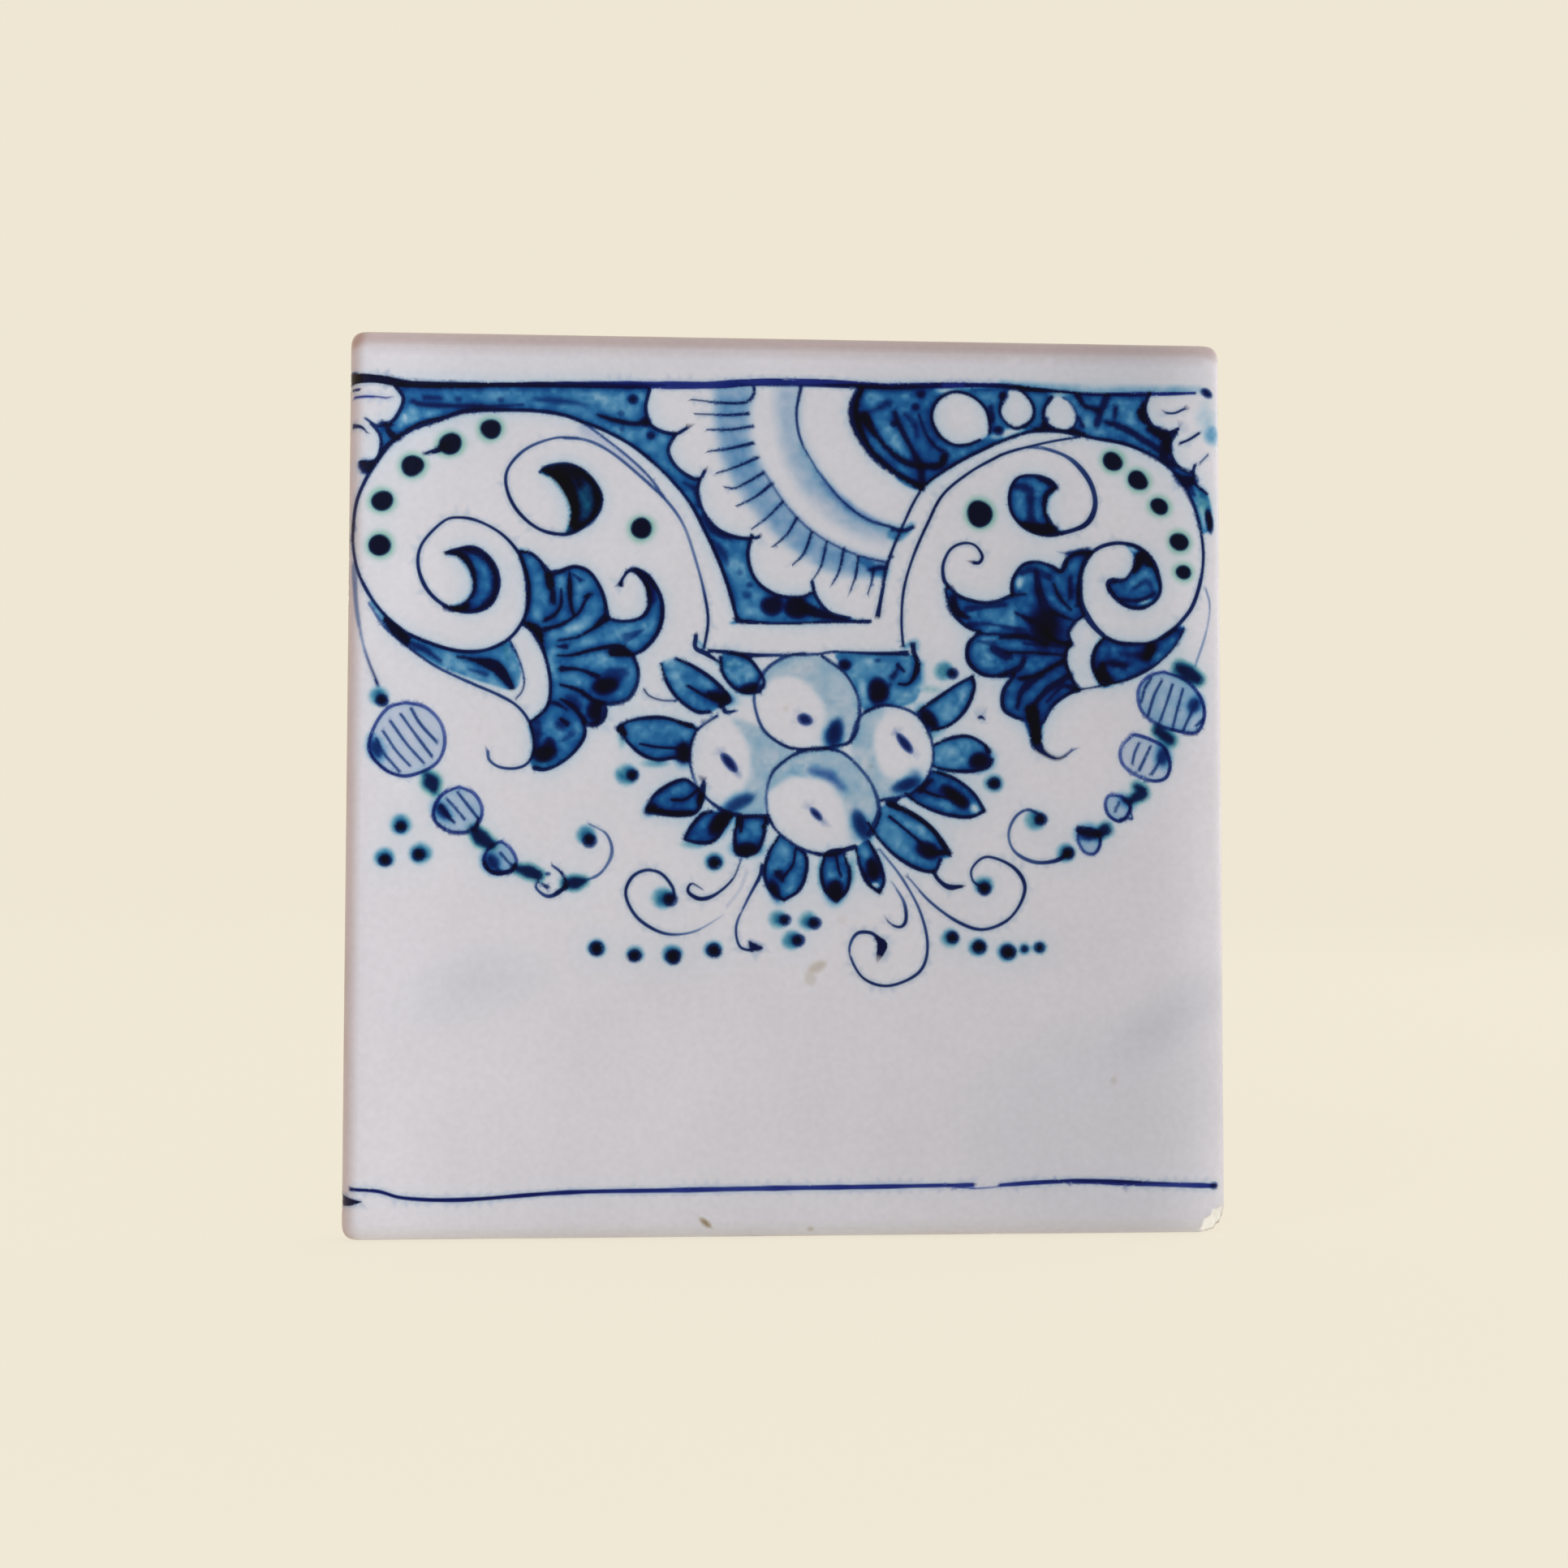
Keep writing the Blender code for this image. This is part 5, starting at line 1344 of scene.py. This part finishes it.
# Noise of each surface: scale, detail, the range that is used, and the values that it becomes
GLAZE_MOTTLE = (70, 3, 0.3, 0.7, 0.975, 1.02)
GLAZE_GRAIN = (900, 2, 0.3, 0.75, 0.97, 1.03)
GLAZE_ROUGHNESS = (120, 3, 0.3, 0.7, 0.16, 0.27)
CLAY_PATCHES = (45, 6, 0.3, 0.7, 0, 1)
CLAY_BRIGHTNESS = (1500, 3, 0.35, 0.7, 0.8, 1.12)
CLAY_ROUGHNESS = (300, 3, 0.3, 0.7, 0.78, 0.95)

# Bumps of each surface: scale, detail, and height in metres
GLAZE_PEEL = (450, 2, 0.00003)
GLAZE_DENTS = (60, 2, 0.0002)
CLAY_GRIT = (1400, 4, 0.0002)
CLAY_DENTS = (140, 3, 0.0006)

# Materials, sky and floor: the floor's size in metres, its gap under the tile in millimetres
GLAZE_IOR = 1.5
GLAZE_SPECULAR = 0.08
CLAY_DARK = (0.42, 0.23, 0.15, 1)
CLAY_LIGHT = (0.62, 0.42, 0.31, 1)
PALE_SKY = (0.863, 0.799, 0.658, 1)
FLOOR_COLOUR = (0.10, 0.092, 0.075, 1)
FLOOR_GLOW = (0.863, 0.807, 0.672, 1)
FLOOR_SIZE = 60
FLOOR_GAP = 0.2


def new_material(name):
    """Start a material, and give its node tree and its shader with it."""
    material = bpy.data.materials.new(name)
    material.use_nodes = True
    tree = material.node_tree
    return material, tree, tree.nodes["Principled BSDF"]


def set_inputs(node, **inputs):
    """Set inputs of a node by name."""
    for name, value in inputs.items():
        node.inputs[name.replace("_", " ")].default_value = value


def add_node(tree, kind, **inputs):
    """Add a node and set its inputs."""
    node = tree.nodes.new(kind)
    set_inputs(node, **inputs)
    return node


def noise(tree, scale, detail):
    """Add a noise in the object's own space."""
    place = tree.nodes.get("Texture Coordinate") or add_node(tree, "ShaderNodeTexCoord")
    node = add_node(tree, "ShaderNodeTexNoise", Scale=scale, Detail=detail)
    tree.links.new(place.outputs["Object"], node.inputs["Vector"])
    return node.outputs["Fac"]


def spread_noise(tree, scale, detail, low, high, out_low, out_high):
    """Add a noise whose range from low to high becomes another range."""
    node = add_node(tree, "ShaderNodeMapRange", From_Min=low, From_Max=high, To_Min=out_low, To_Max=out_high)
    tree.links.new(noise(tree, scale, detail), node.inputs["Value"])
    return node.outputs["Result"]


def multiply(tree, first, second):
    """Multiply two values."""
    node = tree.nodes.new("ShaderNodeMath")
    node.operation = "MULTIPLY"
    tree.links.new(first, node.inputs[0])
    tree.links.new(second, node.inputs[1])
    return node.outputs[0]


def bump(tree, scale, detail, height, below=None):
    """Add a bump of a real height in metres, on top of one below it."""
    node = add_node(tree, "ShaderNodeBump", Strength=1.0, Distance=height)
    tree.links.new(noise(tree, scale, detail), node.inputs["Height"])
    if below is not None:
        tree.links.new(below, node.inputs["Normal"])
    return node.outputs["Normal"]


def shade(tree, shader, colour, brightness, roughness, normal):
    """Join a colour, its change of brightness, a roughness and a bump to the shader."""
    tone = add_node(tree, "ShaderNodeHueSaturation")
    tree.links.new(colour, tone.inputs["Color"])
    tree.links.new(brightness, tone.inputs["Value"])
    tree.links.new(tone.outputs["Color"], shader.inputs["Base Color"])
    tree.links.new(roughness, shader.inputs["Roughness"])
    tree.links.new(normal, shader.inputs["Normal"])


def glaze_material():
    """Make the tin glaze: the painting from the mesh, fine speckle, soft dullness and a faint orange peel."""
    material, tree, shader = new_material("tin_glaze")
    set_inputs(shader, IOR=GLAZE_IOR, Specular_IOR_Level=GLAZE_SPECULAR)
    paint = tree.nodes.new("ShaderNodeAttribute")
    paint.attribute_name = "paint"
    brightness = multiply(tree, spread_noise(tree, *GLAZE_MOTTLE), spread_noise(tree, *GLAZE_GRAIN))
    normal = bump(tree, *GLAZE_DENTS, bump(tree, *GLAZE_PEEL))
    shade(tree, shader, paint.outputs["Color"], brightness, spread_noise(tree, *GLAZE_ROUGHNESS), normal)
    return material


def clay_material():
    """Make the bare fired clay of the back: buff pink, rough, with grit and darker patches."""
    material, tree, shader = new_material("bare_clay")
    mix = tree.nodes.new("ShaderNodeMix")
    mix.data_type = "RGBA"
    mix.inputs["A"].default_value = CLAY_DARK
    mix.inputs["B"].default_value = CLAY_LIGHT
    tree.links.new(spread_noise(tree, *CLAY_PATCHES), mix.inputs["Factor"])
    brightness = spread_noise(tree, *CLAY_BRIGHTNESS)
    normal = bump(tree, *CLAY_DENTS, bump(tree, *CLAY_GRIT))
    shade(tree, shader, mix.outputs["Result"], brightness, spread_noise(tree, *CLAY_ROUGHNESS), normal)
    return material


# Map of the painted tile: the face over most of it, the back small in a strip at the right
FACE_SHARE = 0.86
MAP_MARGIN = 0.002
BACK_SCALE = 1 / 1100
BACK_CENTRE = (0.933, 0.9)
FLARED_FROM = 0.9


def unwrap(mesh, places, back_from):
    """Lay the face over most of the map, with the sides flared round it and the back small in a strip."""
    layer = mesh.uv_layers.new(name="OFBake")
    corners = np.zeros(len(mesh.loops), np.int32)
    mesh.loops.foreach_get("vertex_index", corners)
    where = places[corners]
    side = np.clip(where[:, 1] + THICKNESS - FRONT_ARRIS, 0, None)[:, None]
    plan = where[:, [0, 2]]
    flared = plan + np.sign(plan) * side * (arris_depth(plan) > FLARED_FROM)[:, None]
    room = 2 * (HALF_HEIGHT + THICKNESS)
    uv = (flared + (HALF_WIDTH + THICKNESS, HALF_HEIGHT + THICKNESS)) / room * FACE_SHARE + MAP_MARGIN
    starts = np.zeros(len(mesh.polygons), np.int32)
    mesh.polygons.foreach_get("loop_start", starts)
    uv[starts[back_from]:] = (plan * BACK_SCALE + BACK_CENTRE)[starts[back_from]:]
    layer.data.foreach_set("uv", uv.astype(np.float32).ravel())


def dress_tile():
    """Build the tile, paint it, and put it in the place of its CAD solid."""
    face = Face(HALF_WIDTH, HALF_HEIGHT)
    paint_face(face)
    places, faces, back_from, push = build_tile(face)
    mesh = bpy.data.meshes.new("painted_tile")
    mesh.from_pydata((places * MM).tolist(), [], faces)
    mesh.validate()
    mesh.materials.append(glaze_material())
    mesh.materials.append(clay_material())
    material_index = np.zeros(len(mesh.polygons), np.int32)
    material_index[back_from:] = 1
    mesh.polygons.foreach_set("material_index", material_index)
    mesh.polygons.foreach_set("use_smooth", np.ones(len(mesh.polygons), bool))
    colour = tile_colours(face, places, push)
    opaque = np.hstack([colour, np.ones((len(colour), 1))]).astype(np.float32)
    paint = mesh.attributes.new("paint", "FLOAT_COLOR", "POINT")
    paint.data.foreach_set("color", opaque.ravel())
    unwrap(mesh, places, back_from)
    tile = bpy.data.objects.new("painted_tile", mesh)
    bpy.context.scene.collection.objects.link(tile)
    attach(tile, "root")
    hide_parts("tile")


def make_camera():
    """Set the camera where the photo was taken from, by the tilt of the face in it."""
    yaw, pitch, roll = (math.radians(angle) for angle in (CAMERA_YAW, CAMERA_PITCH, CAMERA_ROLL))
    turn = Matrix.Rotation(roll, 3, "Z") @ Matrix.Rotation(pitch, 3, "X") @ Matrix.Rotation(yaw, 3, "Y")
    to_face = Matrix(((1, 0, 0), (0, 0, -1), (0, 1, 0)))
    back = (turn @ to_face).transposed()
    camera = bpy.data.objects.new("camera", bpy.data.cameras.new("camera"))
    camera.data.sensor_width = SENSOR
    camera.data.lens = LENS
    camera.data.clip_start = 0.01
    right, down, ahead = (back @ Vector(axis) for axis in ((1, 0, 0), (0, 1, 0), (0, 0, 1)))
    place = Vector((0, -THICKNESS, 0)) * MM - back @ Vector(FACE_FROM_CAMERA) * MM
    camera.matrix_world = Matrix.Translation(place) @ Matrix((right, -down, -ahead)).transposed().to_4x4()
    bpy.context.scene.collection.objects.link(camera)
    bpy.context.scene.camera = camera


def soft_light(name, place, size, power, colour):
    """Hang one large soft light that faces the tile, in metres and watts."""
    lamp = bpy.data.lights.new(name, "AREA")
    lamp.shape = "RECTANGLE"
    lamp.size, lamp.size_y = size
    lamp.energy = power
    lamp.color = colour
    light = bpy.data.objects.new(name, lamp)
    light.location = place
    light.rotation_euler = (-Vector(place)).to_track_quat("-Z", "Y").to_euler()
    bpy.context.scene.collection.objects.link(light)


def make_light():
    """Light the tile softly, most from the right, under a plain pale sky."""
    soft_light("window", place=(1.1, 0.35, 0.1), size=(1.2, 1.6), power=9.0, colour=(0.85, 0.85, 1.0))
    soft_light("fill", place=(-0.6, -1.1, 0.7), size=(0.9, 0.9), power=5.5, colour=(0.5, 0.68, 1.0))
    world = bpy.data.worlds.new("studio")
    world.use_nodes = True
    set_inputs(world.node_tree.nodes["Background"], Color=PALE_SKY, Strength=1.0)
    bpy.context.scene.world = world
    bpy.context.scene.view_settings.view_transform = "Standard"


def make_floor():
    """Lay a plain pale floor just under the tile's lower edge."""
    bpy.ops.mesh.primitive_plane_add(size=FLOOR_SIZE, location=(0, 0, -(HALF_HEIGHT + FLOOR_GAP) * MM))
    floor = bpy.context.object
    floor.name = "floor"
    material, _, shader = new_material("pale_floor")
    set_inputs(shader, Base_Color=FLOOR_COLOUR, Roughness=0.9, Specular_IOR_Level=0.0)
    set_inputs(shader, Emission_Color=FLOOR_GLOW, Emission_Strength=0.9)
    floor.data.materials.append(material)


dress_tile()
make_camera()
make_light()
make_floor()
